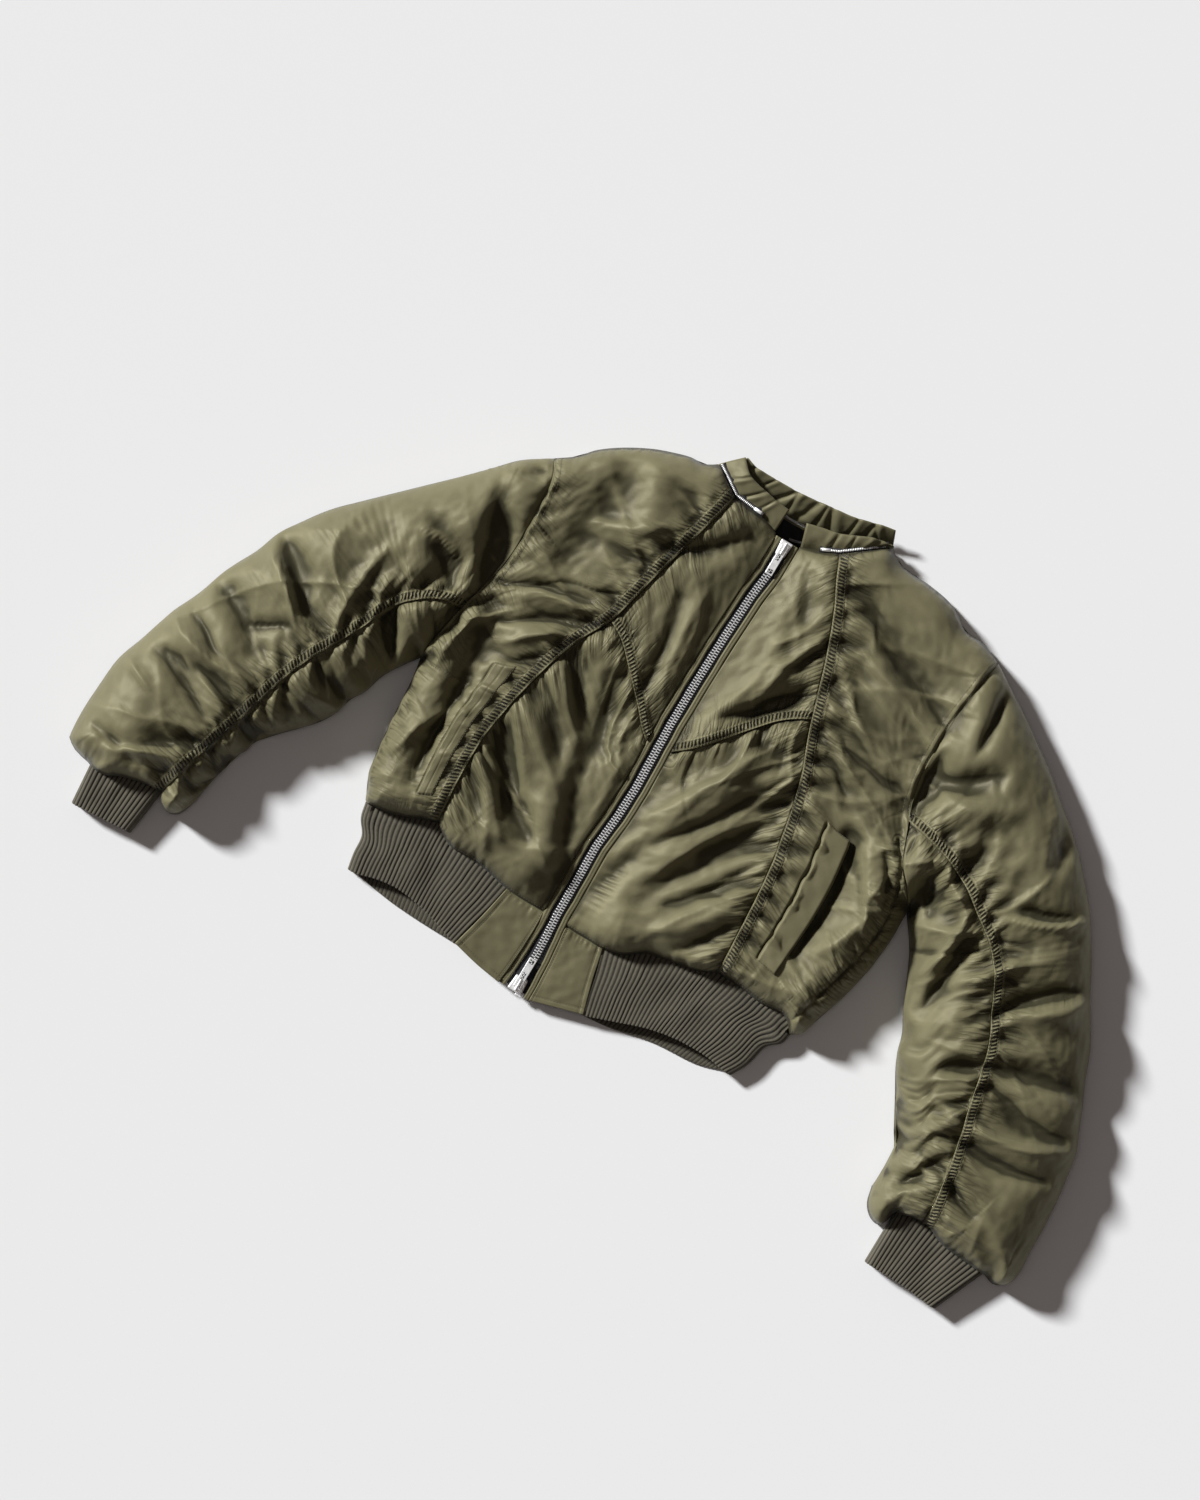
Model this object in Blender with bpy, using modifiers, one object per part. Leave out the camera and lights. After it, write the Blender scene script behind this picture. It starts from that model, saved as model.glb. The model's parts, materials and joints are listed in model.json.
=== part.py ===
"""Cropped bomber jacket lying flat on its back, front upwards, zip closed.

Frame: X across the jacket, Y from hem to collar, Z up. The origin is on the underside of the
back panel, on the zip line, and the floor is z = 0. Plan sizes below are in millimetres.
"""

import math

import bmesh
import bpy
import numpy as np

MM = 0.001

# Driving sizes, mm
WALL = 3.0  # nylon shell with its thin wadding
SEAM_GAP = 0.3  # between neighbouring pieces
EDGE_Z = 9.0  # height of the folded edge all round
UNDER_ROLL = 11.0  # radius of the roll from the floor up to that edge
BODY_Z = 47.0  # top of the chest
SLEEVE_Z = 62.0  # top of the sleeves
BODY_ROUND = 48.0  # how far the chest takes to reach its height
SLEEVE_ROUND = 62.0
PLACKET_IN, PLACKET_OUT = 7.0, 13.5  # placket strip, from the middle of the zip
PLACKET_GAP = 0.45
TAPE_HALF = 12.0
ZIP_CUTS = (-91.0, 162.0)  # the long strips beside the zip are modelled in three lengths
CHAIN_HALF = 4.0
RIB_WALL = 3.0
RIB_RAISE = 1.1
COLLAR_WALL = 4.0
WELT_WALL = 2.5

# Colours: base colour, roughness, metallic
OLIVE = ((0.118, 0.108, 0.055), 0.42, 0.0)
RIB_GREY = ((0.062, 0.060, 0.050), 0.9, 0.0)
TAPE_BLACK = ((0.012, 0.012, 0.016), 0.8, 0.0)
LINING_BLACK = ((0.010, 0.010, 0.011), 0.7, 0.0)
NICKEL = ((0.80, 0.80, 0.80), 0.22, 1.0)
LOOP_GREY = ((0.20, 0.20, 0.21), 0.8, 0.0)

# Middle of the zip and height of the front along it: y, x, z
ZIP_LINE = (
    (-270, 0, 13), (-248, 1, 13.4), (-222, 1, 14.5), (-200, 0, 16.5), (-175, -2, 20), (-150, -2.5, 25),
    (-125, -3, 30), (-95, -4, 34), (-60, -1, 35.5), (-25, 0, 36), (0, -1, 36), (50, -3, 36),
    (100, -3, 36), (150, -2, 35), (200, 0, 31), (228, 3, 27.5), (265, 3, 26), (275, 3, 25.5),
)

# Outline of the nylon in plan, as x, y points along each edge
LEFT_SHOULDER = ((-97, 298), (-110, 291), (-125, 290), (-145, 284), (-165, 276), (-190, 262),
                 (-210, 247), (-223, 232), (-242, 218))
LEFT_OUTER = ((-242, 218), (-270, 199), (-290, 178), (-312, 155), (-335, 132), (-355, 112),
              (-385, 82), (-410, 56), (-430, 28), (-442, 8), (-452, -18), (-466, -46), (-480, -85),
              (-493, -114), (-505, -152), (-515, -182), (-518, -215), (-519, -250), (-517, -276))
LEFT_END_OUTER = ((-517, -276), (-505, -284), (-484, -289))
LEFT_MOUTH = ((-484, -289), (-465, -289), (-452, -283), (-436, -278), (-420, -275), (-407, -275))
LEFT_END_INNER = ((-407, -275), (-401, -285), (-391, -290), (-381, -284), (-374, -265))
LEFT_INNER = ((-254, -24), (-268, -44), (-278, -62), (-284, -82), (-293, -98), (-299, -118),
              (-313, -139), (-335, -161), (-350, -178), (-360, -202), (-368, -230), (-374, -265))
LEFT_SIDE = ((-226, -178), (-235, -160), (-240, -146), (-243, -125), (-246, -100), (-248, -75),
             (-250, -50), (-254, -24))
LEFT_ARMHOLE_LOW = ((-254, -24), (-250, 2), (-243, 40))
LEFT_ARMHOLE = ((-243, 40), (-236, 68), (-231, 92), (-228, 115), (-228, 140), (-229, 170),
                (-232, 196), (-242, 218))
LEFT_SLEEVE_SEAM = ((-243, 40), (-265, 36), (-284, 24), (-302, 5), (-316, -26), (-331, -56),
                    (-345, -82), (-356, -108), (-364, -135), (-373, -165), (-382, -195),
                    (-391, -222), (-397, -245), (-407, -275))
LEFT_UNDER_SEAM = ((-229, 110), (-292, 48), (-350, -20), (-395, -100), (-424, -180), (-436, -230),
                   (-440, -281))

RIGHT_SHOULDER = ((98, 316), (112, 307), (130, 304), (145, 304), (172, 300), (190, 292),
                  (203, 283), (225, 281), (249, 272))
RIGHT_OUTER = ((249, 272), (272, 257), (300, 240), (325, 223), (350, 205), (375, 185), (400, 165),
               (420, 147), (440, 125), (460, 100), (485, 62), (500, 35), (515, 10), (530, -15),
               (542, -45), (553, -68), (562, -90), (571, -112), (577, -145), (581, -180),
               (583, -220), (584, -246), (580, -262))
RIGHT_END_OUTER = ((580, -262), (568, -268), (555, -264))
RIGHT_MOUTH = ((555, -264), (530, -262), (500, -259), (480, -251), (462, -251), (445, -256))
RIGHT_END_INNER = ((445, -256), (440, -275), (428, -275), (417, -264), (412, -246))
RIGHT_INNER = ((298, 12), (310, -5), (324, -26), (336, -52), (346, -76), (358, -98), (366, -122),
               (384, -152), (399, -177), (409, -194), (412, -220), (412, -246))
RIGHT_SIDE = ((262, -158), (272, -148), (280, -125), (288, -100), (294, -75), (298, -50),
              (300, -20), (298, 12))
RIGHT_ARMHOLE_LOW = ((298, 12), (284, 28), (266, 50), (251, 88))
BACK_ARMPIT = ((298, 12), (282, 27), (264.5, 49), (251, 88))
RIGHT_ARMHOLE = ((251, 88), (244, 108), (239, 130), (237, 155), (237, 180), (238, 205),
                 (241, 230), (244, 255), (249, 272))
RIGHT_SLEEVE_SEAM = ((251, 88), (276, 82), (302, 75), (330, 62), (355, 44), (384, 22), (403, -3),
                     (420, -35), (434, -65), (442, -95), (448, -125), (456, -155), (462, -185),
                     (467, -215), (472, -251))
RIGHT_UNDER_SEAM = ((237, 165), (310, 120), (390, 60), (445, -20), (475, -110), (492, -190),
                    (500, -260))

# Seams of the body, as x, y points
LEFT_PRINCESS = ((-153, -158), (-155, -130), (-157, -100), (-157, -60), (-152, -25), (-146, 5),
                 (-137, 40), (-124, 75), (-108, 106), (-100, 135), (-93, 165), (-84, 200),
                 (-75, 235), (-69, 258), (-66, 277))
RIGHT_PRINCESS = ((166, -142), (164, -120), (162, -90), (159, -50), (155, -15), (150, 10),
                  (144, 40), (134, 75), (124, 100), (115, 125), (107, 150), (98, 178), (89, 203),
                  (77, 232), (64, 258), (54, 282))
LEFT_YOKE = ((-108, 106), (-88, 94), (-66, 72), (-44, 50), (-28, 32), (-17, 22))
RIGHT_YOKE = ((115, 125), (98, 115), (84, 103), (66, 82), (48, 60), (30, 40), (11, 24))
LEFT_HEM_SIDE = ((-226, -178), (-205, -176), (-185, -171), (-168, -163), (-153, -158))
LEFT_HEM_FRONT = ((-153, -158), (-143, -165), (-128, -172), (-100, -172), (-80, -175), (-59, -179),
                  (-40, -180), (-15.5, -180))
RIGHT_HEM_SIDE = ((262, -158), (246, -144), (220, -146), (195, -143), (166, -142))
RIGHT_HEM_FRONT = ((166, -142), (148, -151), (120, -157), (95, -163), (75, -176), (55, -181),
                   (34, -181), (11.5, -181))
LEFT_NECK_SIDE = ((-97, 298), (-84, 289), (-66, 277))
LEFT_NECK_FRONT = ((-66, 277), (-46, 275), (-28, 273), (-13, 268), (-11, 266))
RIGHT_NECK_SIDE = ((98, 316), (76, 299), (54, 282))
RIGHT_NECK_FRONT = ((54, 282), (38, 275), (26, 271), (17, 268), (16.5, 266))
BACK_NECK = ((-97, 298), (-60, 292), (0, 288), (55, 297), (98, 316))
BACK_HEM = ((-226, -178), (262, -158))

# Edges of the hem rib below those seams
LEFT_RIB_EDGE = ((-226, -178), (-222, -194), (-212, -209), (-210, -228), (-207, -244))
RIGHT_RIB_EDGE = ((262, -158), (259, -170), (247, -182), (241, -206), (232, -223))
LEFT_RIB_FOOT = ((-207, -244), (-180, -237), (-155, -235), (-125, -239), (-95, -247), (-76, -253))
RIGHT_RIB_FOOT = ((232, -223), (205, -219), (170, -220), (138, -226), (108, -236), (73, -248))
BACK_RIB_FOOT = ((-207, -244), (-155, -251), (-88, -253), (0, -252), (95, -247), (150, -236),
                 (200, -232), (232, -223))

# Largest folds: start x, y, end x, y, half width, height (a trough is negative)
FOLDS = (
    (-300, 92, -268, 60, 14, -9), (-345, 60, -322, -30, 20, -9), (-262, 150, -236, 60, 15, -12),
    (-430, 8, -380, -40, 12, -10), (-425, -18, -340, -62, 9, 7), (-468, -62, -400, -100, 14, -9),
    (-470, -150, -385, -162, 10, -8), (-480, -120, -400, -134, 9, 7), (-450, -245, -390, -212, 10, -9),
    (-470, -262, -400, -236, 9, 7), (-255, 190, -238, 205, 7, -8), (-250, 0, -243, 45, 10, -14),
    (-278, -40, -300, 10, 10, -14), (-215, 60, -205, -30, 14, -9), (-200, -20, -196, -130, 9, -12),
    (-236, -20, -226, 40, 8, 7), (-225, -110, -205, -60, 9, 6), (-180, 130, -172, 240, 16, -6),
    (-140, 250, -125, 190, 16, 6), (-215, 85, -140, 108, 8, -7), (-190, 95, -120, 112, 8, 6),
    (-148, -15, -75, -62, 12, 7), (-140, -45, -70, -118, 13, -9), (-150, -80, -95, -135, 9, 7),
    (-105, -10, -45, -110, 17, -12), (-75, -25, -35, -130, 12, 10), (-130, 60, -70, -15, 16, -8),
    (-60, 160, -45, 60, 10, -7), (-35, 250, -90, 200, 10, -8), (-40, 170, -30, 70, 10, 6),
    (40, 240, 60, 170, 12, -6), (82, 195, 60, 120, 9, 7), (92, 145, 42, 85, 10, -11),
    (140, 55, 90, -40, 14, -9), (150, -5, 60, -120, 18, -10), (150, -60, 100, -130, 10, 7),
    (20, 20, 50, 90, 12, 5), (80, 60, 60, -60, 18, 6), (75, 262, 180, 205, 14, -7),
    (150, 240, 230, 195, 16, -7), (165, 195, 225, 150, 12, -7), (150, 205, 205, 165, 12, 7),
    (118, 145, 225, 120, 9, 6), (120, 132, 230, 108, 8, -6), (208, 40, 218, -80, 13, -12),
    (225, 110, 262, 60, 12, -8), (215, 60, 270, -10, 12, 7), (262, -20, 240, -70, 9, 6),
    (247, 150, 252, 105, 11, -13), (300, 168, 258, 140, 12, -8), (275, 125, 320, 140, 12, 6),
    (268, 250, 274, 190, 8, -8), (388, 175, 400, 132, 12, -7), (330, 92, 322, 60, 9, -7),
    (460, 98, 395, 58, 8, 8), (440, 88, 400, 74, 9, -8), (500, 25, 440, -22, 10, 8),
    (480, 25, 425, -35, 10, -9), (410, 15, 380, -20, 9, 8), (315, 20, 300, 45, 9, -12),
    (345, 40, 305, 70, 8, 8), (362, 10, 358, -80, 11, -9), (346, 30, 342, -30, 8, 8),
    (545, -108, 460, -98, 11, -9), (540, -60, 460, -82, 12, -8), (548, -120, 470, -140, 9, 7),
    (548, -152, 460, -160, 9, -7), (440, -140, 415, -180, 10, 6), (450, -185, 425, -235, 9, -8),
    (500, -215, 470, -195, 8, -7), (415, -100, 440, -85, 9, -7),
)
# Gathers beside the long seams: how deep, and how far they reach into the cloth
GATHER_RISE, GATHER_REACH = 1.7, 26.0


def mixed(a, b, t):
    return a + (b - a) * t


def smooth_curve(points, steps=16):
    """A rounded curve through every point (Catmull-Rom)."""
    p = np.asarray(points, float)
    p = np.vstack([2 * p[0] - p[1], p, 2 * p[-1] - p[-2]])
    t = np.linspace(0, 1, steps, endpoint=False)[:, None]
    runs = [0.5 * (2 * b + (c - a) * t + (2 * a - 5 * b + 4 * c - d) * t**2 + (3 * b - a - 3 * c + d) * t**3)
            for a, b, c, d in zip(p[:-3], p[1:-2], p[2:-1], p[3:])]
    return np.vstack(runs + [p[-2:-1]])


def joined(*curves):
    """Curves end to end, as one rounded line."""
    parts = [smooth_curve(curve) for curve in curves]
    return np.vstack([part[:-1] for part in parts[:-1]] + [parts[-1]])


def spaced(line, shares):
    """Points at the given shares of a line's length."""
    lengths = np.r_[0, np.cumsum(np.hypot(*np.diff(line[:, :2], axis=0).T))]
    at = np.asarray(shares) * lengths[-1]
    return np.column_stack([np.interp(at, lengths, column) for column in line.T])


def cut_line(line, low, high):
    """The stretch of a line that climbs in y, from one height to another."""
    y = np.r_[low, line[(line[:, 1] > low + 1) & (line[:, 1] < high - 1), 1], high]
    return np.column_stack([np.interp(y, line[:, 1], line[:, 0]), y])


def stepped(parts, shares):
    """Points along several curves in turn, each ending at its own share, so corners are kept."""
    shares = np.asarray(shares, float)
    points = np.zeros((len(shares), 2))
    begin = 0.0
    for line, stop in parts:
        here = (shares >= begin - 1e-9) & (shares <= stop + 1e-9)
        points[here] = spaced(line, np.clip((shares[here] - begin) / (stop - begin), 0, 1))
        begin = stop
    return points


def coons(start, end, left, right, across, along):
    """Plan grid filling four edges: rows run from start to end, columns from left to right.

    An edge is a line, or a list of lines with the share at which each ends.
    """
    u, v = np.asarray(across), np.asarray(along)
    lower, upper, west, east = (
        stepped(edge if isinstance(edge, list) else [(edge, 1.0)], shares)
        for edge, shares in ((start, u), (end, u), (left, v), (right, v)))
    u, v = u[None, :, None], v[:, None, None]
    corners = (mixed(mixed(lower[0], lower[-1], u), mixed(upper[0], upper[-1], u), v))
    return mixed(lower[None], upper[None], v) + mixed(west[:, None], east[:, None], u) - corners


def zip_x(y):
    table = np.asarray(ZIP_LINE, float)
    return np.interp(y, table[:, 0], table[:, 1])


def zip_z(y):
    table = np.asarray(ZIP_LINE, float)
    return np.interp(y, table[:, 0], table[:, 2])


def beside_zip(offset, low, high):
    """A seam that follows the zip at a distance, climbing in y."""
    y = np.linspace(low, high, 60)
    return np.column_stack([zip_x(y) + offset, y])


def nearest(points, line):
    """Distance from each plan point to a line, and the direction out across it.

    The line is walked with the cloth on its left, so its right-hand side is outside.
    """
    a, b = line[:-1], line[1:]
    run = b - a
    share = np.einsum("nij,ij->ni", points[:, None] - a, run) / np.maximum((run**2).sum(1), 1e-9)
    foot = a + np.clip(share, 0, 1)[..., None] * run
    gap = np.linalg.norm(foot - points[:, None], axis=2)
    pick = gap.argmin(1)
    rows = np.arange(len(points))
    side = np.column_stack([run[:, 1], -run[:, 0]]) / np.linalg.norm(run, axis=1)[:, None]
    out = foot[rows, pick] - points + side[pick] * 1.0
    return gap[rows, pick], out / np.maximum(np.linalg.norm(out, axis=1), 1e-9)[:, None]


# Edges of the whole outline: line, edge height, run-up, and how much of the roll is left off
def outline():
    left_to_floor = joined(LEFT_SHOULDER, LEFT_OUTER, LEFT_END_OUTER)
    left_inside = joined(LEFT_END_INNER, LEFT_INNER[::-1], LEFT_SIDE[::-1])
    right_inside = joined(RIGHT_SIDE, RIGHT_INNER, RIGHT_END_INNER[::-1])
    right_to_floor = joined(RIGHT_END_OUTER[::-1], RIGHT_OUTER[::-1], RIGHT_SHOULDER[::-1])
    folded = [left_to_floor, left_inside, right_inside, right_to_floor]
    hem = joined(LEFT_HEM_SIDE, LEFT_HEM_FRONT, ((-15.5, -180), (11.5, -181)), RIGHT_HEM_FRONT[::-1],
                 RIGHT_HEM_SIDE[::-1])
    neck = joined(RIGHT_NECK_SIDE, RIGHT_NECK_FRONT, ((16.5, 266), (-11, 266)), LEFT_NECK_FRONT[::-1],
                  LEFT_NECK_SIDE[::-1])
    mouths = [smooth_curve(LEFT_MOUTH), smooth_curve(RIGHT_MOUTH[::-1])]
    return folded, hem, neck, mouths


FOLDED, HEM, NECK, MOUTHS = outline()
GATHERED = [smooth_curve(LEFT_PRINCESS), smooth_curve(RIGHT_PRINCESS), smooth_curve(LEFT_YOKE),
            smooth_curve(RIGHT_YOKE), smooth_curve(LEFT_SLEEVE_SEAM), smooth_curve(RIGHT_SLEEVE_SEAM)]


def top_surface(plan):
    """Height of the upper cloth over each plan point, and the direction that its wall faces."""
    shape = plan.shape[:-1]
    p = plan.reshape(-1, 2)
    sleeve = np.clip((np.abs(p[:, 0]) - 215) / 70, 0, 1)
    high = mixed(BODY_Z, SLEEVE_Z, sleeve * sleeve * (3 - 2 * sleeve))
    run_up = mixed(BODY_ROUND, SLEEVE_ROUND, sleeve)
    height = np.full(len(p), 1e6)
    facing = np.zeros((len(p), 3))
    edge = np.full(len(p), 1e6)
    kinds = [(line, EDGE_Z, run_up, 0.0) for line in FOLDED]
    kinds += [(HEM, 0.0, 34.0, 0.08), (NECK, 14.0, 40.0, 0.16)]
    kinds += [(line, 8.0, 40.0, 0.08) for line in MOUTHS]
    for line, base, reach, cut in kinds:
        gap, out = nearest(p, line)
        flat = np.clip(1 - gap / reach - cut, 0, 1)
        rise = np.sqrt(1 - flat**2)
        z = base + (high - base) * rise
        lower = z < height
        height = np.where(lower, z, height)
        lean = np.column_stack([out * flat[:, None], np.maximum(rise, 1e-6)])
        facing = np.where(lower[:, None], lean, facing)
        edge = np.minimum(edge, gap)
    fade = np.clip(edge / 22, 0, 1)
    height = height + folds(p) * fade
    beside = np.clip(np.abs(p[:, 0] - zip_x(p[:, 1])) / 60, 0, 1)
    height = mixed(zip_z(p[:, 1]), height, beside * beside * (3 - 2 * beside))
    facing[beside < 0.3] = (0, 0, 1)
    facing /= np.linalg.norm(facing, axis=1)[:, None]
    return height.reshape(shape), facing.reshape(shape + (3,))


def folds(p):
    """Sum of the large folds: a soft ridge or trough along each line of the table."""
    total = np.zeros(len(p))
    for x0, y0, x1, y1, half_width, rise in FOLDS:
        start, run = np.array([x0, y0]), np.array([x1 - x0, y1 - y0])
        length = math.hypot(*run)
        along = (p - start) @ run / length
        beyond = np.maximum(np.maximum(-along, along - length), 0)
        side = (p - start) @ np.array([-run[1], run[0]]) / length
        total += rise * np.exp(-((side / half_width) ** 2) - (beyond / half_width) ** 2)
    return np.clip(total, -13, 11)


def gathered(grid, plan):
    """Every other row lifted beside the gathered seams, fading into the cloth."""
    flat = plan.reshape(-1, 2)
    near = np.min([nearest(flat, line)[0] for line in GATHERED], axis=0).reshape(plan.shape[:2])
    edge = np.min([nearest(flat, line)[0] for line in FOLDED], axis=0).reshape(plan.shape[:2])
    row = np.where(np.arange(plan.shape[0]) % 2, 1.0, -1.0)[:, None]
    lift = GATHER_RISE * row * np.exp(-near / GATHER_REACH) * np.clip(edge / 40 - 0.3, 0, 1)
    return grid + np.dstack([0 * lift, 0 * lift, lift])


def under_surface(plan):
    """Height of the lower cloth: flat on the floor, rolling up at the folded edges."""
    shape = plan.shape[:-1]
    p = plan.reshape(-1, 2)
    gap = np.full(len(p), 1e6)
    out = np.zeros((len(p), 2))
    for line in FOLDED:
        this, way = nearest(p, line)
        out = np.where((this < gap)[:, None], way, out)
        gap = np.minimum(this, gap)
    flat = np.clip(1 - gap / UNDER_ROLL, 0, 1)
    drop = np.sqrt(1 - flat**2)
    facing = np.column_stack([out * flat[:, None], -np.maximum(drop, 1e-6)])
    facing /= np.linalg.norm(facing, axis=1)[:, None]
    return (EDGE_Z * (1 - drop)).reshape(shape), facing.reshape(shape + (3,))


def inset(plan, sides, start_gap=None):
    """Each named side of a plan grid drawn in by half a seam gap."""
    plan = plan.copy()
    for side in sides:
        half = start_gap if side == "start" and start_gap else SEAM_GAP / 2
        edge, inner = {"start": (plan[0], plan[1]), "end": (plan[-1], plan[-2]),
                       "left": (plan[:, 0], plan[:, 1]), "right": (plan[:, -1], plan[:, -2])}[side]
        step = inner - edge
        edge += step / np.linalg.norm(step, axis=-1)[..., None] * half
    return plan


def on_fold(plan):
    """Which points of a plan grid lie on the folded edge, and the nearest place on it."""
    p = plan.reshape(-1, 2)
    gap = np.full(len(p), 1e6)
    foot = p.copy()
    for line in FOLDED:
        a, run = line[:-1], line[1:] - line[:-1]
        share = np.einsum("nij,ij->ni", p[:, None] - a, run) / np.maximum((run**2).sum(1), 1e-9)
        near = a + np.clip(share, 0, 1)[..., None] * run
        this = np.linalg.norm(near - p[:, None], axis=2)
        pick = this.argmin(1)
        best = this[np.arange(len(p)), pick]
        foot = np.where((best < gap)[:, None], near[np.arange(len(p)), pick], foot)
        gap = np.minimum(gap, best)
    return (gap < 0.3).reshape(plan.shape[:-1]), foot.reshape(plan.shape)


def seated(plan, sides, start_gap):
    """A plan grid with its seams drawn in, still reaching the folded edge where it did."""
    was_on, _ = on_fold(plan)
    plan = inset(plan, sides, start_gap)
    _, foot = on_fold(plan)
    return np.where(was_on[..., None], foot, plan), was_on


def material(name, finish):
    made = bpy.data.materials.get(name)
    if made is None:
        colour, roughness, metallic = finish
        made = bpy.data.materials.new(name)
        made.use_nodes = True
        shader = made.node_tree.nodes["Principled BSDF"]
        shader.inputs["Base Color"].default_value = (*colour, 1)
        shader.inputs["Roughness"].default_value = roughness
        shader.inputs["Metallic"].default_value = metallic
    return made


def add_object(name, mesh, finish):
    obj = bpy.data.objects.new(name, mesh)
    JACKET.objects.link(obj)
    mesh.materials.append(finish)
    return obj


def wall(name, outer, inner, finish, ring=False):
    """A closed wall between an outer grid and an inner grid of the same size (mm)."""
    rows, columns = outer.shape[:2]
    points = np.vstack([outer.reshape(-1, 3), inner.reshape(-1, 3)]) * MM
    turns = columns if ring else columns - 1
    faces = []

    def at(layer, row, column):
        return layer * rows * columns + row * columns + column % columns

    for row in range(rows - 1):
        for column in range(turns):
            corners = [(row, column), (row, column + 1), (row + 1, column + 1), (row + 1, column)]
            faces.append([at(0, *corner) for corner in corners])
            faces.append([at(1, *corner) for corner in corners[:1] + corners[:0:-1]])
    for column in range(turns):
        faces.append([at(0, 0, column + 1), at(0, 0, column), at(1, 0, column), at(1, 0, column + 1)])
        last = rows - 1
        faces.append([at(0, last, column), at(0, last, column + 1), at(1, last, column + 1),
                      at(1, last, column)])
    if not ring:
        for row in range(rows - 1):
            faces.append([at(0, row, 0), at(0, row + 1, 0), at(1, row + 1, 0), at(1, row, 0)])
            last = columns - 1
            faces.append([at(0, row + 1, last), at(0, row, last), at(1, row, last),
                          at(1, row + 1, last)])
    mesh = bpy.data.meshes.new(name)
    mesh.from_pydata(points.tolist(), [], faces)
    shell = bmesh.new()
    shell.from_mesh(mesh)
    bmesh.ops.recalc_face_normals(shell, faces=shell.faces)
    shell.to_mesh(mesh)
    shell.free()
    mesh.update()
    return add_object(name, mesh, finish)


def upper_cloth(plan, sides, start_gap=None):
    """Outer points and wall directions of a piece of the upper side."""
    plan, folded = seated(plan, sides, start_gap)
    height, facing = top_surface(plan)
    outer = gathered(np.dstack([plan, height]), plan)
    outer[..., 2] = np.where(folded, EDGE_Z + SEAM_GAP / 2, outer[..., 2])
    return outer, facing


def lower_cloth(plan, sides, start_gap=None):
    """The same for a piece of the underside."""
    plan, folded = seated(plan, sides, start_gap)
    height, facing = under_surface(plan)
    outer = np.dstack([plan, height])
    outer[..., 2] = np.where(folded, EDGE_Z - SEAM_GAP / 2, outer[..., 2])
    return outer, facing


def panel(name, outer, facing, finish, thickness=WALL):
    return wall(name, outer, outer - facing * thickness, finish)


def even(count):
    return np.linspace(0, 1, count + 1)


def from_edge(count, power=1.8):
    """Shares that crowd towards the folded edge at 0."""
    return even(count) ** power


SIDE_ROWS = 30
NECK_SHARE = {"left": 0.79, "right": 0.765}  # where the shoulder ends and the neck begins
SIDE_ACROSS = {"left": (0, 0.012, 0.045, 0.11, 0.22, 0.4, 0.61, 0.79, 0.89, 1),
               "right": (0, 0.01, 0.035, 0.08, 0.17, 0.35, 0.57, 0.765, 0.88, 1)}
SHOULDER_CROWD = 1.5
FRONT_ACROSS = 7
SLEEVE_ROWS = 21
ARMHOLE_INSET = 1.1
CUFF_GAP = 0.9
HEM_GAP = 1.0
UNDER_ACROSS = (0, 0.02, 0.07, 0.15, 0.32, 0.5, 0.72, 1)


TOP_ACROSS = from_edge(8)
INNER_ACROSS = from_edge(6)


def body_panels(nylon):
    """Side panels, fronts above and below the V seam, placket strips and the back."""
    grids = {}
    for side in ("left", "right"):
        left = side == "left"
        princess = smooth_curve(LEFT_PRINCESS if left else RIGHT_PRINCESS)
        offset = -1 if left else 1
        border = joined(*((LEFT_SIDE, LEFT_ARMHOLE_LOW, LEFT_ARMHOLE) if left else
                          (RIGHT_SIDE, RIGHT_ARMHOLE_LOW, RIGHT_ARMHOLE)))
        top = [(smooth_curve((LEFT_SHOULDER if left else RIGHT_SHOULDER)[::-1]), NECK_SHARE[side]),
               (smooth_curve(LEFT_NECK_SIDE if left else RIGHT_NECK_SIDE), 1.0)]
        hem = smooth_curve(LEFT_HEM_SIDE if left else RIGHT_HEM_SIDE)
        rows = 1 - (1 - even(SIDE_ROWS)) ** SHOULDER_CROWD
        plan = coons(hem, top, border, princess, SIDE_ACROSS[side], rows)
        outer, facing = upper_cloth(plan, ("start", "end", "left", "right"))
        grids[side] = outer, facing
        panel(f"side_panel_{side}", outer, facing, nylon)

        yoke = smooth_curve((LEFT_YOKE if left else RIGHT_YOKE))
        meet = yoke[0, 1]
        strip_foot = (LEFT_HEM_FRONT if left else RIGHT_HEM_FRONT)[-1][1]
        strip_yoke = yoke[-1, 1]
        neck_y = (LEFT_NECK_FRONT if left else RIGHT_NECK_FRONT)[-1][1]
        edge = offset * PLACKET_OUT
        yoke[-1, 0] = zip_x(strip_yoke) + edge
        hem = smooth_curve(LEFT_HEM_FRONT if left else RIGHT_HEM_FRONT)
        hem[-1, 0] = zip_x(strip_foot) + edge
        neck = smooth_curve(LEFT_NECK_FRONT if left else RIGHT_NECK_FRONT)
        neck[-1, 0] = zip_x(neck_y) + edge
        all_sides = ("start", "end", "left", "right")
        plan = coons(hem, yoke, cut_line(princess, princess[0, 1], meet),
                     beside_zip(edge, strip_foot, strip_yoke), even(FRONT_ACROSS), even(19))
        panel(f"lower_front_{side}", *upper_cloth(plan, all_sides), nylon)
        plan = coons(yoke, neck, cut_line(princess, meet, princess[-1, 1]),
                     beside_zip(edge, strip_yoke, neck_y), even(FRONT_ACROSS), even(13))
        panel(f"upper_front_{side}", *upper_cloth(plan, all_sides), nylon)
    return grids


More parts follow.
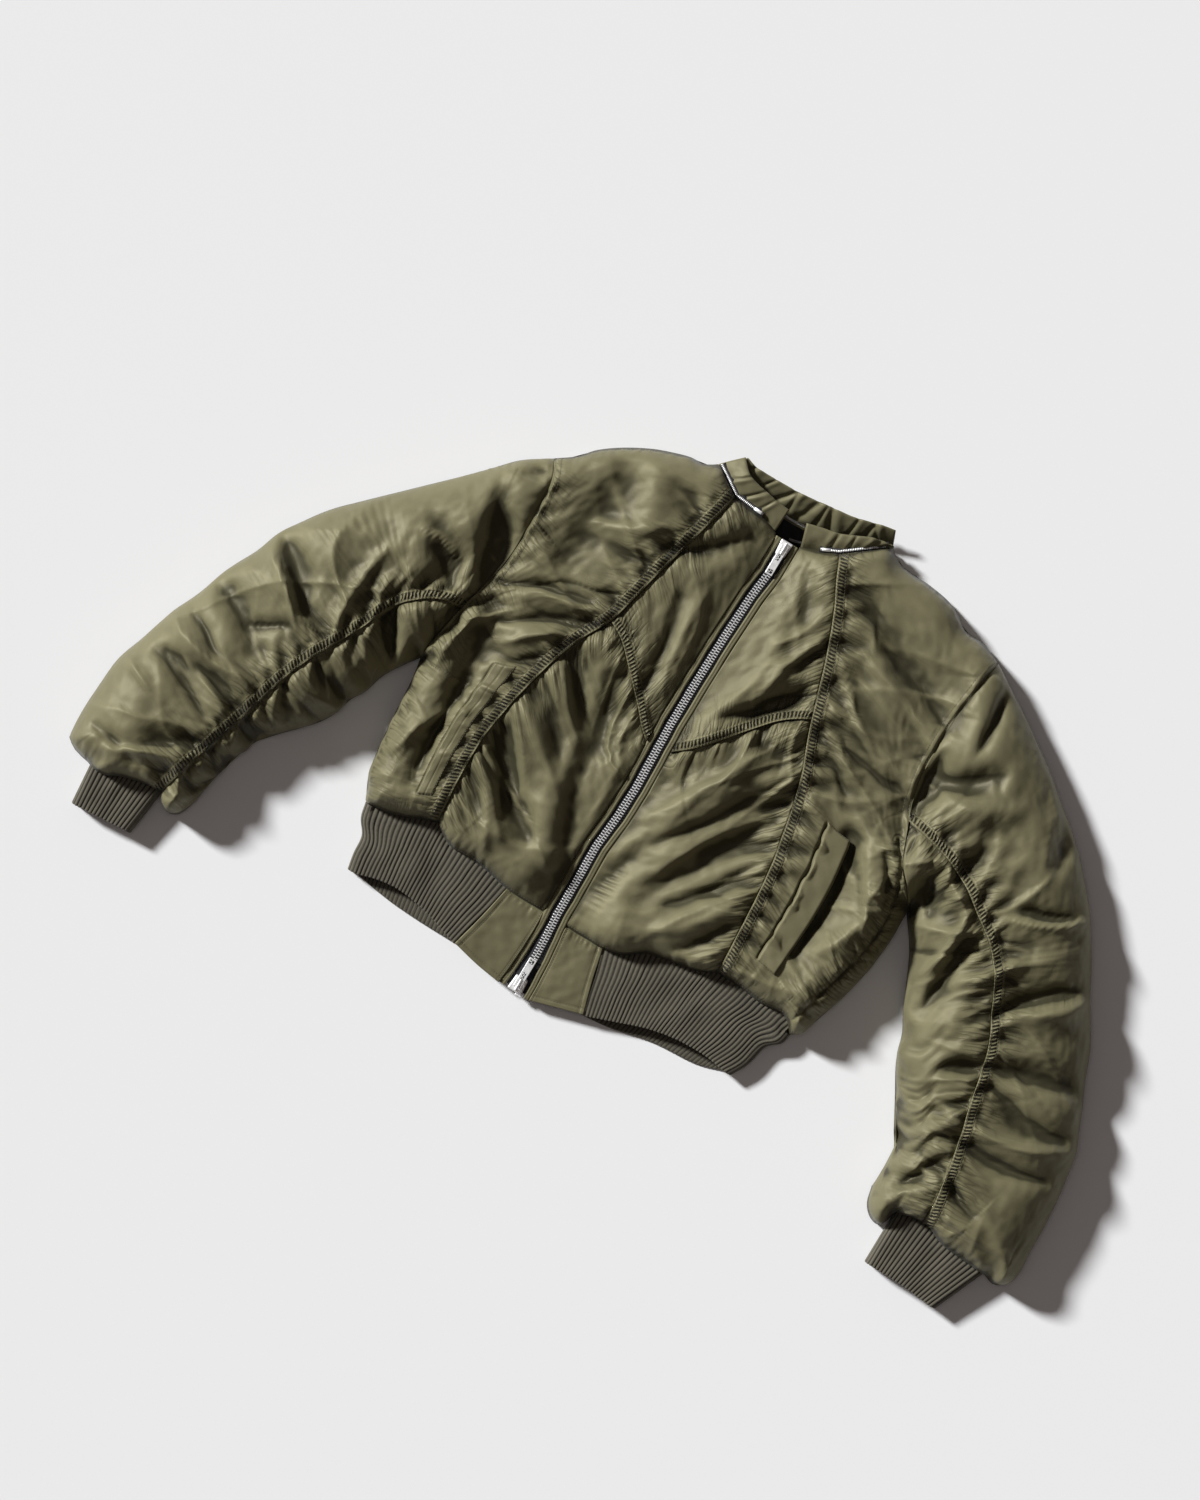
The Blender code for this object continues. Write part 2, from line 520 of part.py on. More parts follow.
def back_panel(nylon):
    """The back: its flat middle, and the strips that roll up at the sides and the shoulders."""
    left = joined(LEFT_SIDE, LEFT_ARMHOLE_LOW, LEFT_ARMHOLE)
    right = joined(RIGHT_SIDE, BACK_ARMPIT, RIGHT_ARMHOLE)
    top = [(smooth_curve(LEFT_SHOULDER[::-1]), 0.3), (smooth_curve(BACK_NECK), 0.7),
           (smooth_curve(RIGHT_SHOULDER), 1.0)]
    across = np.r_[0, 0.006, 0.018, 0.04, 0.1, 0.3, 0.4, 0.5, 0.6, 0.7, 0.9, 0.96, 0.982, 0.994, 1]
    along = np.r_[0, np.linspace(0.08, 0.92, 16), 0.965, 0.985, 1]
    plan = coons(smooth_curve(BACK_HEM), top, left, right, across, along)
    rim = 3  # columns at each side and rows at the top that roll up
    pieces = {"back_panel": plan[:1 - rim, rim:-rim], "back_edge_left": plan[:1 - rim, :rim + 1],
              "back_edge_right": plan[:1 - rim, -rim - 1:], "back_edge_top": plan[-rim:]}
    for name, piece in pieces.items():
        outer, facing = lower_cloth(piece, ("start", "end", "left", "right"))
        panel(name, outer, facing, nylon)


def sleeve(side, nylon):
    """Two pieces wrap the arm and meet at the gathered seam on top and a plain one beneath."""
    left = side == "left"
    outer_edge = smooth_curve(LEFT_OUTER if left else RIGHT_OUTER)
    inner_edge = smooth_curve(LEFT_INNER if left else RIGHT_INNER)
    seam = smooth_curve(LEFT_SLEEVE_SEAM if left else RIGHT_SLEEVE_SEAM)
    under_seam = smooth_curve(LEFT_UNDER_SEAM if left else RIGHT_UNDER_SEAM)
    armhole = smooth_curve((LEFT_ARMHOLE if left else RIGHT_ARMHOLE)[::-1])
    armpit = smooth_curve((LEFT_ARMHOLE_LOW if left else RIGHT_ARMHOLE_LOW))
    outer_end = smooth_curve(LEFT_END_OUTER if left else RIGHT_END_OUTER)
    inner_end = smooth_curve((LEFT_END_INNER if left else RIGHT_END_INNER)[::-1])
    mouth = smooth_curve(LEFT_MOUTH if left else RIGHT_MOUTH)

    def split(line, point):
        cut = np.linalg.norm(line - np.asarray(point, float), axis=1).argmin()
        first, second = line[:cut + 1].copy(), line[cut:].copy()
        first[-1] = second[0] = point
        return first, second

    def end_edge(fold, rest, shares):
        """The sleeve's end: the folded stretch first, then its share of the cuff's mouth."""
        length = np.hypot(*np.diff(rest, axis=0).T).sum() if len(rest) > 1 else 0
        return [(fold, shares), (rest, 1.0)] if length > 1 else [(fold, 1.0)]

    upper_mouth, upper_rest = split(mouth, seam[-1])
    under_mouth, under_rest = np.array([mouth[0], under_seam[-1]]), np.array([under_seam[-1], mouth[-1]])
    under_armhole, low_armhole = split(armhole, under_seam[0])
    low_armhole = np.vstack([low_armhole[:-1], armpit[::-1]])
    rows = even(SLEEVE_ROWS)
    pieces = {
        f"top_sleeve_{side}": (
            coons(armhole, end_edge(outer_end, upper_mouth, TOP_ACROSS[4]), outer_edge, seam,
                  TOP_ACROSS, rows),
            coons(under_armhole, end_edge(outer_end, under_mouth, UNDER_ACROSS[3]), outer_edge,
                  under_seam, UNDER_ACROSS, rows)),
        f"under_sleeve_{side}": (
            coons(armpit, end_edge(inner_end, upper_rest[::-1], INNER_ACROSS[3]), inner_edge, seam,
                  INNER_ACROSS, rows),
            coons(low_armhole[::-1], end_edge(inner_end, under_rest[::-1], UNDER_ACROSS[3]),
                  inner_edge, under_seam, UNDER_ACROSS, rows)),
    }
    for name, (upper, lower) in pieces.items():
        top_grid, top_facing = upper_cloth(upper, ("start", "end", "right"), ARMHOLE_INSET)
        low_grid, low_facing = lower_cloth(lower, ("start", "end", "right"), ARMHOLE_INSET + 1.2)
        top_grid[:, 0, :2] = low_grid[:, 0, :2]
        top_grid[:, 0, 2] = EDGE_Z
        grid = np.concatenate([low_grid[:, :0:-1], top_grid], axis=1)
        facing = np.concatenate([low_facing[:, :0:-1], top_facing], axis=1)
        panel(name, grid, facing, nylon)


def pocket_welt(side, grids, nylon):
    """A strip that lies on the side panel, made from the panel's own points."""
    outer, facing = grids[side]
    columns = slice(6, 8) if side == "left" else slice(6, 8)
    low, high = (-140, 14) if side == "left" else (-112, 42)
    y = outer[:, 6, 1]
    rows = slice(int(np.abs(y - low).argmin()), int(np.abs(y - high).argmin()) + 1)
    base, way = outer[rows, columns], facing[rows, columns]
    lift = 0.45
    wall(f"pocket_welt_{side}", base + way * (lift + WELT_WALL), base + way * lift, nylon)


def flat_strip(name, offset_in, offset_out, low, high, depth, thickness, finish, feet=None):
    """A strip beside the zip that follows its bends, in three lengths; depth is below the front."""
    cuts = {"low": (low, ZIP_CUTS[0] - SEAM_GAP / 2), "high": (ZIP_CUTS[1] + SEAM_GAP / 2, high),
            "mid": (ZIP_CUTS[0] + SEAM_GAP / 2, ZIP_CUTS[1] - SEAM_GAP / 2)}
    for part, (start, end) in cuts.items():
        stations = [row[0] for row in ZIP_LINE if start + 2 < row[0] < end - 2]
        y = np.array([start, *stations, end], float)
        top = np.stack([np.column_stack([zip_x(y) + offset, y, zip_z(y) - depth])
                        for offset in sorted((offset_in, offset_out))], axis=1)
        if feet is not None:
            top[:, :, 0] += feet(y)[:, None]
        wall(f"{name}_{part}", top, top - np.array([0, 0, thickness]), finish)


def front_zip(nylon, black, metal):
    top_y, hem_y, foot_y = 266.0, -180.0, -264.0
    half = SEAM_GAP / 2

    def spread(y):
        return np.clip((-190 - y) / 75, 0, 1) * 4.5

    for side, sign in (("left", -1), ("right", 1)):
        flat_strip(f"placket_{side}", sign * PLACKET_IN, sign * (PLACKET_OUT - PLACKET_GAP), foot_y,
                   top_y, 0, WALL, nylon, feet=lambda y, s=sign: s * spread(y))
        flat_strip(f"zip_tape_{side}", sign * half, sign * TAPE_HALF, foot_y + 1, top_y - 1,
                   WALL + SEAM_GAP, 1.0, black)
    chain_low, chain_high = -247.0, 249.0
    flat_strip("zip_chain", -CHAIN_HALF, CHAIN_HALF, chain_low, chain_high, 0.2, 2.8, metal)
    return chain_low, chain_high


def rounded_block(name, size, centre, finish, bevel=0.8, taper=0.0):
    """A bevelled block, narrower towards -Y by the taper."""
    block = bmesh.new()
    bmesh.ops.create_cube(block, size=1)
    for vert in block.verts:
        vert.co.x *= size[0] * (1 - taper * (vert.co.y < 0))
        vert.co.y *= size[1]
        vert.co.z *= size[2]
    bmesh.ops.scale(block, verts=block.verts, vec=(MM, MM, MM))
    mesh = bpy.data.meshes.new(name)
    block.to_mesh(mesh)
    block.free()
    obj = add_object(name, mesh, finish)
    obj.location = [value * MM for value in centre]
    edge = obj.modifiers.new("rounded edges", "BEVEL")
    edge.width = bevel * MM
    edge.segments = 2
    edge.limit_method = "ANGLE"
    return obj


def cut(obj, cutter):
    cutter.display_type = "WIRE"
    cutter.hide_render = True
    for collection in list(cutter.users_collection):
        collection.objects.unlink(cutter)
    CUTTERS.objects.link(cutter)
    opening = obj.modifiers.new(cutter.name, "BOOLEAN")
    opening.operation = "DIFFERENCE"
    opening.object = cutter


def joint_on(obj, piece):
    union = obj.modifiers.new(piece.name, "BOOLEAN")
    union.operation = "UNION"
    union.object = piece
    piece.display_type = "WIRE"
    piece.hide_render = True
    for collection in list(piece.users_collection):
        collection.objects.unlink(piece)
    CUTTERS.objects.link(piece)


PULL = {"width": 8.0, "length": 33.0, "thick": 1.6, "slot": 3.2}


def slider(name, pull_name, y, towards, metal):
    """Slider body with a raised bridge, and a flat pull hinged on the bridge; towards is the way
    that the pull lies, +1 up the jacket or -1 down it."""
    x, z = float(zip_x(y)), float(zip_z(y))
    body_z = (-WALL + 0.5, 2.4)
    body = rounded_block(name, (13.6, 16.5, body_z[1] - body_z[0]), (x, y, z + sum(body_z) / 2),
                         metal, 1.2, 0.25 if towards < 0 else -0.2)
    bridge = rounded_block(f"{name}_bridge", (2.0, 13.0, 5.4), (x, y, z + 3.9), metal, 0.6)
    joint_on(body, bridge)
    eye = rounded_block(f"{name}_eye", (6.0, 8.0, 2.6), (x, y, z + 4.2), metal, 0.3)
    cut(body, eye)
    pin_y = y - towards * 2.0
    pull_z = z + 4.2
    middle = pin_y + towards * (PULL["length"] / 2 - 0.8)
    pull = rounded_block(pull_name, (PULL["width"], PULL["length"], PULL["thick"]),
                         (x, middle, pull_z), metal, 0.4)
    slot = rounded_block(f"{pull_name}_slot", (PULL["slot"], 15.0, 6.0),
                         (x, pin_y + towards * 8.3, pull_z), metal, 0.3)
    window = rounded_block(f"{pull_name}_window", (5.0, 4.5, 6.0),
                           (x, pin_y + towards * (PULL["length"] - 4.6), pull_z), metal, 0.6)
    cut(pull, slot)
    cut(pull, window)
    return x, pin_y, pull_z


def hem_heights(y):
    """Height of the front of the hem band, lower towards its foot."""
    return np.interp(y, (-255, -150), (14.5, 18.5))


def facing_square(side, nylon):
    left = side == "left"
    sign = -1 if left else 1
    top = np.array(LEFT_HEM_FRONT[-3:] if left else RIGHT_HEM_FRONT[-3:], float)
    foot = np.array([(-75.5, -253), (-45, -260), (-17, -264)] if left else
                    [(72.5, -248), (45, -256), (18, -264)], float)
    along = beside_zip(sign * PLACKET_OUT, -264, top[-1][1])
    along[:, 0] += sign * np.clip((-190 - along[:, 1]) / 75, 0, 1) * 4.5
    top[-1, 0], foot[-1, 0] = along[-1, 0], along[0, 0]
    outer_side = np.array([foot[0], top[0]])
    plan = coons(foot, top, outer_side, along, even(6), even(6))
    plan = inset(plan, ("start", "end", "left", "right"))
    beside = np.clip(np.abs(plan[..., 0] - zip_x(plan[..., 1])) / 60, 0, 1)
    height = mixed(zip_z(plan[..., 1]), hem_heights(plan[..., 1]), beside * beside * (3 - 2 * beside))
    outer = np.dstack([plan, height])
    wall(f"hem_facing_{side}", outer, outer - np.array([0, 0, WALL]), nylon)


def hem_rib(knit):
    """One band from facing to facing, round the back; ribs stand up on all but the underside."""
    roll = 8.0
    rows = 2
    ribs = {"left": 26, "right": 32}
    fronts = {}
    for side, (seam, foot, way) in {
            "left": (joined(LEFT_HEM_SIDE, LEFT_HEM_FRONT[:6]), smooth_curve(LEFT_RIB_FOOT), 1),
            "right": (joined(RIGHT_HEM_SIDE, RIGHT_HEM_FRONT[:6]), smooth_curve(RIGHT_RIB_FOOT), -1),
    }.items():
        share = even(ribs[side] * 2)
        length = np.hypot(*np.diff(seam, axis=0).T).sum()
        upper, lower = spaced(seam, mixed(roll / length, 1, share)), spaced(foot, share)
        upper[:, 1] -= HEM_GAP
        upper[:, 0] -= way * 0.3 * share
        lower[:, 0] += way * (roll * (1 - share) - 0.3 * share)
        fronts[side] = upper, lower
    edge = {"left": smooth_curve(LEFT_RIB_EDGE), "right": smooth_curve(RIGHT_RIB_EDGE)}
    turn = np.linspace(90, -90, 7)[1:-1]
    down = even(rows)

    def front(side):
        upper, lower = fronts[side]
        grid = np.stack([mixed(upper, lower, t) for t in down])
        side_edge = spaced(edge[side], down)
        near = np.exp(-even(grid.shape[1] - 1) * 6)[None, :, None]
        first = grid[:, :1]
        inward = roll if side == "left" else -roll
        target = side_edge[:, None] + np.array([inward, 0.0])
        grid = grid + (target - first) * near * (down > 0)[:, None, None]
        z = hem_heights(grid[..., 1])
        return np.dstack([grid, z]), np.dstack([0 * z, 0 * z, 0 * z + 1])

    def rolled(side):
        line = spaced(edge[side], down)
        line[0, 1] -= HEM_GAP
        out = -1 if side == "left" else 1
        top = hem_heights(line[:, 1])
        columns, ways = [], []
        for angle in np.radians(turn):
            columns.append(np.column_stack([line[:, 0] - out * roll * (1 - math.cos(angle)),
                                            line[:, 1], top / 2 * (1 + math.sin(angle))]))
            ways.append(np.tile([out * math.cos(angle), 0, math.sin(angle)], (len(line), 1)))
        return np.stack(columns, axis=1), np.stack(ways, axis=1)

    left_front, left_up = front("left")
    right_front, right_up = front("right")
    left_roll, left_way = rolled("left")
    right_roll, right_way = rolled("right")
    back_share = even(12)
    upper, lower = spaced(smooth_curve(BACK_HEM), back_share), spaced(smooth_curve(BACK_RIB_FOOT), back_share)
    upper[:, 1] -= SEAM_GAP
    pinch = roll * (1 - 2 * back_share)
    upper[:, 0] += pinch
    lower[:, 0] += pinch
    back = np.stack([mixed(upper, lower, t) for t in down])
    back = np.dstack([back, np.zeros(back.shape[:2])])
    back_way = np.tile([0.0, 0.0, -1.0], back.shape[:2] + (1,))
    outer = np.concatenate([left_front[:, ::-1], left_roll, back, right_roll[:, ::-1], right_front], axis=1)
    way = np.concatenate([left_up[:, ::-1], left_way, back_way, right_way[:, ::-1], right_up], axis=1)
    ridge = np.where(np.arange(outer.shape[1]) % 2, RIB_RAISE, 0.0)[None, :, None]
    raised = outer + way * ridge * (outer[..., 2:] > 0.5)
    wall("hem_rib", raised, outer - way * RIB_WALL, knit)


CUFFS = {
    "left": {"mouth": LEFT_MOUTH, "foot": ((-480, -330), (-450, -328), (-414, -326)), "ribs": 17},
    "right": {"mouth": RIGHT_MOUTH[::-1], "foot": ((445, -314), (490, -315), (530, -318)), "ribs": 18},
}


def cuff(side, knit):
    """A flattened tube of rib knit, closed all round and open at both ends."""
    sizes = CUFFS[side]
    rows = 2
    roll_x = 7.0
    share = even(sizes["ribs"] * 2)
    upper, lower = spaced(smooth_curve(sizes["mouth"]), share), spaced(smooth_curve(sizes["foot"]), share)
    if upper[0, 0] > upper[-1, 0]:
        upper = upper[::-1]
    upper[:, 1] -= CUFF_GAP
    squeeze = roll_x * (1 - 2 * share)
    upper[:, 0] += squeeze
    lower[:, 0] += squeeze
    down = even(rows)
    top = np.stack([mixed(upper, lower, t) for t in down])
    high = mixed(25.0, 21.0, down)[:, None] * np.ones(top.shape[1])
    top = np.dstack([top, high])
    up = np.tile([0.0, 0.0, 1.0], top.shape[:2] + (1,))
    bottom = top[:, ::-4].copy()
    ends = sizes["mouth"][0], sizes["mouth"][-1]
    slope = (ends[1][1] - ends[0][1]) / (ends[1][0] - ends[0][0])
    straight = ends[0][1] + slope * (bottom[0, :, 0] - ends[0][0]) - CUFF_GAP
    bottom[0, :, 1] = np.minimum(bottom[0, :, 1], straight)
    bottom[1, :, 1] = (bottom[0, :, 1] + bottom[2, :, 1]) / 2
    bottom[..., 2] = 0
    under = np.tile([0.0, 0.0, -1.0], bottom.shape[:2] + (1,))

    def side_roll(edge, out):
        columns, ways = [], []
        for angle in np.radians(np.linspace(90, -90, 6)[1:-1]):
            columns.append(np.column_stack([edge[:, 0] + out * roll_x * math.cos(angle), edge[:, 1],
                                            high[:, 0] / 2 * (1 + math.sin(angle))]))
            ways.append(np.tile([out * math.cos(angle), 0, math.sin(angle)], (rows + 1, 1)))
        return np.stack(columns, axis=1), np.stack(ways, axis=1)

    east, east_way = side_roll(top[:, -1], 1)
    west, west_way = side_roll(top[:, 0], -1)
    outer = np.concatenate([top, east, bottom, west[:, ::-1]], axis=1)
    way = np.concatenate([up, east_way, under, west_way[:, ::-1]], axis=1)
    ridge = np.where(np.arange(outer.shape[1]) % 2, RIB_RAISE, 0.0)[None, :, None]
    raised = outer + way * ridge * (outer[..., 2:] > 0.5)
    wall(f"cuff_{side}", raised, outer - way * RIB_WALL, knit, ring=True)


COLLAR_TOP = {
    "left": ((-78.5, 316), (-66, 303), (-52, 298), (-40, 296), (-28, 293.5), (-12, 292)),
    "right": ((97, 317), (76, 312), (60, 305), (44, 298), (26, 294), (10, 290)),
}
COLLAR_BACK_TOP = ((-76, 317), (-60, 313), (-20, 313), (0, 314.5), (20, 317), (45, 320), (65, 325),
                   (80, 329), (91, 331))
COLLAR_BACK_FOOT = ((-93, 300), (-60, 294), (0, 290), (52, 299), (97, 318))
COLLAR_PUCKER = 1.3


def pucker(count):
    return COLLAR_PUCKER * np.sin(np.arange(count) * 2.4) * np.sin(np.arange(count) * 0.9 + 1)


def collar(nylon, black):
    """Stand-up band: two fronts that lie over the neck and the back standing behind them."""
    for side in ("left", "right"):
        left = side == "left"
        foot = joined(LEFT_NECK_SIDE, LEFT_NECK_FRONT[:4]) if left else joined(
            RIGHT_NECK_SIDE, RIGHT_NECK_FRONT[:4])
        foot = foot + np.array([0, SEAM_GAP])
        top = smooth_curve(COLLAR_TOP[side])
        plan = coons(foot, top, np.array([foot[0], top[0]]), np.array([foot[-1], top[-1]]),
                     even(14), even(4))
        along = even(14)[None, :]
        height_at_foot = np.interp(along, (0, 0.25, 1), (17, 26, 24))
        height = height_at_foot + even(4)[:, None] * np.interp(along, (0, 0.3, 1), (10, 9, 8))
        height = height + pucker(15)[None, :] * np.sin(math.pi * even(4))[:, None]
        outer = np.dstack([plan, height])
        wall(f"collar_front_{side}", outer, outer - np.array([0, 0, COLLAR_WALL]), nylon)
        tape = outer[0:2, 1:13].copy()
        tape[1] = mixed(outer[0, 1:13], outer[1, 1:13], 0.9)
        tape[..., 2] = mixed(outer[0, 1:13], outer[1, 1:13], np.array([0, 0.9])[:, None, None])[..., 2]
        lift = np.array([0, 0, 0.5])
        wall(f"collar_zip_{side}", tape + lift * 4.6, tape + lift, black)
    foot = smooth_curve(COLLAR_BACK_FOOT) + np.array([0, SEAM_GAP])
    top = smooth_curve(COLLAR_BACK_TOP)
    plan = coons(foot, top, np.array([foot[0], top[0]]), np.array([foot[-1], top[-1]]), even(22), even(4))
    plan = inset(plan, ("left", "right"))
    height = mixed(6.0, 24.0, even(4)[:, None] ** 0.8) + pucker(23)[None, :] * np.sin(
        math.pi * even(4) * 0.8)[:, None]
    outer = np.dstack([plan, height])
    wall("collar_back", outer, outer - np.array([0, 0, COLLAR_WALL]), nylon)


def neck_inside(black, grey):
    """Black lining over the back inside the neck, and the hanger loop on it."""
    foot = np.array([(-60, 250), (0, 246), (60, 252)], float)
    top = np.array([(-56, 289), (0, 285), (52, 292)], float)
    plan = coons(foot, top, np.array([foot[0], top[0]]), np.array([foot[-1], top[-1]]), even(8), even(4))
    height = 5.0 + 3.0 * even(4)[:, None] + 0 * plan[..., 0]
    outer = np.dstack([plan, height])
    wall("neck_lining", outer, outer - np.array([0, 0, 1.5]), black)
    line = bpy.data.curves.new("hanger_loop", "CURVE")
    line.dimensions = "3D"
    line.bevel_depth = 1.1 * MM
    line.bevel_resolution = 2
    line.use_fill_caps = True
    run = line.splines.new("POLY")
    stops = ((3, 270.5, 8.5), (9, 271.5, 9.3), (16, 274, 9.2), (22, 277, 9.0))
    run.points.add(len(stops) - 1)
    for point, stop in zip(run.points, stops):
        point.co = (*(value * MM for value in stop), 1)
    loop = bpy.data.objects.new("hanger_loop", line)
    line.materials.append(grey)
    JACKET.objects.link(loop)


def build():
    nylon = material("nylon", OLIVE)
    knit = material("rib_knit", RIB_GREY)
    black = material("zip_tape", TAPE_BLACK)
    lining = material("neck_lining", LINING_BLACK)
    metal = material("zip_metal", NICKEL)
    grey = material("hanger_loop", LOOP_GREY)
    grids = body_panels(nylon)
    back_panel(nylon)
    for side in ("left", "right"):
        sleeve(side, nylon)
        pocket_welt(side, grids, nylon)
        facing_square(side, nylon)
        cuff(side, knit)
    hem_rib(knit)
    collar(nylon, black)
    neck_inside(lining, grey)
    chain_low, chain_high = front_zip(nylon, black, metal)
    slider("top_slider", "top_pull", chain_high + 8.8, -1, metal)
    slider("bottom_slider", "bottom_pull", chain_low - 8.8, 1, metal)
    end_z = float(zip_z(-266))
    rounded_block("zip_end", (7.0, 2.2, 2.8), (6.0, -265.5, end_z - 1.2), metal, 0.5)


for old in list(bpy.data.objects):
    bpy.data.objects.remove(old, do_unlink=True)
JACKET = bpy.data.collections.new("bomber_jacket")
CUTTERS = bpy.data.collections.new("cutters")
for group in (JACKET, CUTTERS):
    bpy.context.scene.collection.children.link(group)
build()
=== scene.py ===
import json
import math

import bpy
import numpy as np
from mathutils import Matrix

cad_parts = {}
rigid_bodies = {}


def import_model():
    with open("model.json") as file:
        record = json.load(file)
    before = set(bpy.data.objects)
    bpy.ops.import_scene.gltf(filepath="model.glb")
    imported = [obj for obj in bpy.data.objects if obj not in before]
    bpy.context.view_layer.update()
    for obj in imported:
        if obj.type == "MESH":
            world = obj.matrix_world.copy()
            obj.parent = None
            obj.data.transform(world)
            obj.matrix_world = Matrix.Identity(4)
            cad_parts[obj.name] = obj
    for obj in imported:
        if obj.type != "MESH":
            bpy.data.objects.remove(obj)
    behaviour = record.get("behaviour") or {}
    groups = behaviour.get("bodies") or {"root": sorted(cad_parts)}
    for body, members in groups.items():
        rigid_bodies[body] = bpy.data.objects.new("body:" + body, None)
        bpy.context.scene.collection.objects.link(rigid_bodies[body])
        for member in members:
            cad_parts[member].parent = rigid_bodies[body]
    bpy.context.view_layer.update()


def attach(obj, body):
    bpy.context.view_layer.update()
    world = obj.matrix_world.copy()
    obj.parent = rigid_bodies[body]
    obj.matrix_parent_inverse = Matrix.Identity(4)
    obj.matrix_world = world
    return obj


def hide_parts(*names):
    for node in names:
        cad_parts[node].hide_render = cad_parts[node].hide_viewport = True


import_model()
mm = 0.001

# Sizes a user would change, in millimetres unless said
jacket = {
    "edgeHeight": 9.0,  # folded edge all round
    "bodyHeight": 47.0,
    "sleeveHeight": 62.0,
    "bodyRound": 31.0,  # how far the chest takes to rise
    "sleeveRound": 62.0,
    "underRoll": 11.0,
    "foldGain": 0.12,  # share by which the fine folds grow
    "gridStep": 1.5,  # spacing of the cloth's grid
    "coarseStep": 4.5,
    "seamDitch": 1.8,
    "seamTuck": 3.0,
}

# Middle of the zip and height of the front along it: y, x, z
zipLine = np.array([
    (-270, 0, 13), (-248, 1, 13.4), (-222, 1, 14.5), (-200, 0, 16.5), (-175, -2, 20), (-150, -2.5, 25),
    (-125, -3, 30), (-95, -4, 34), (-60, -1, 35.5), (-25, 0, 36), (0, -1, 36), (50, -3, 36),
    (100, -3, 36), (150, -2, 35), (200, 0, 31), (228, 3, 27.5), (265, 3, 26), (275, 3, 25.5)], float)

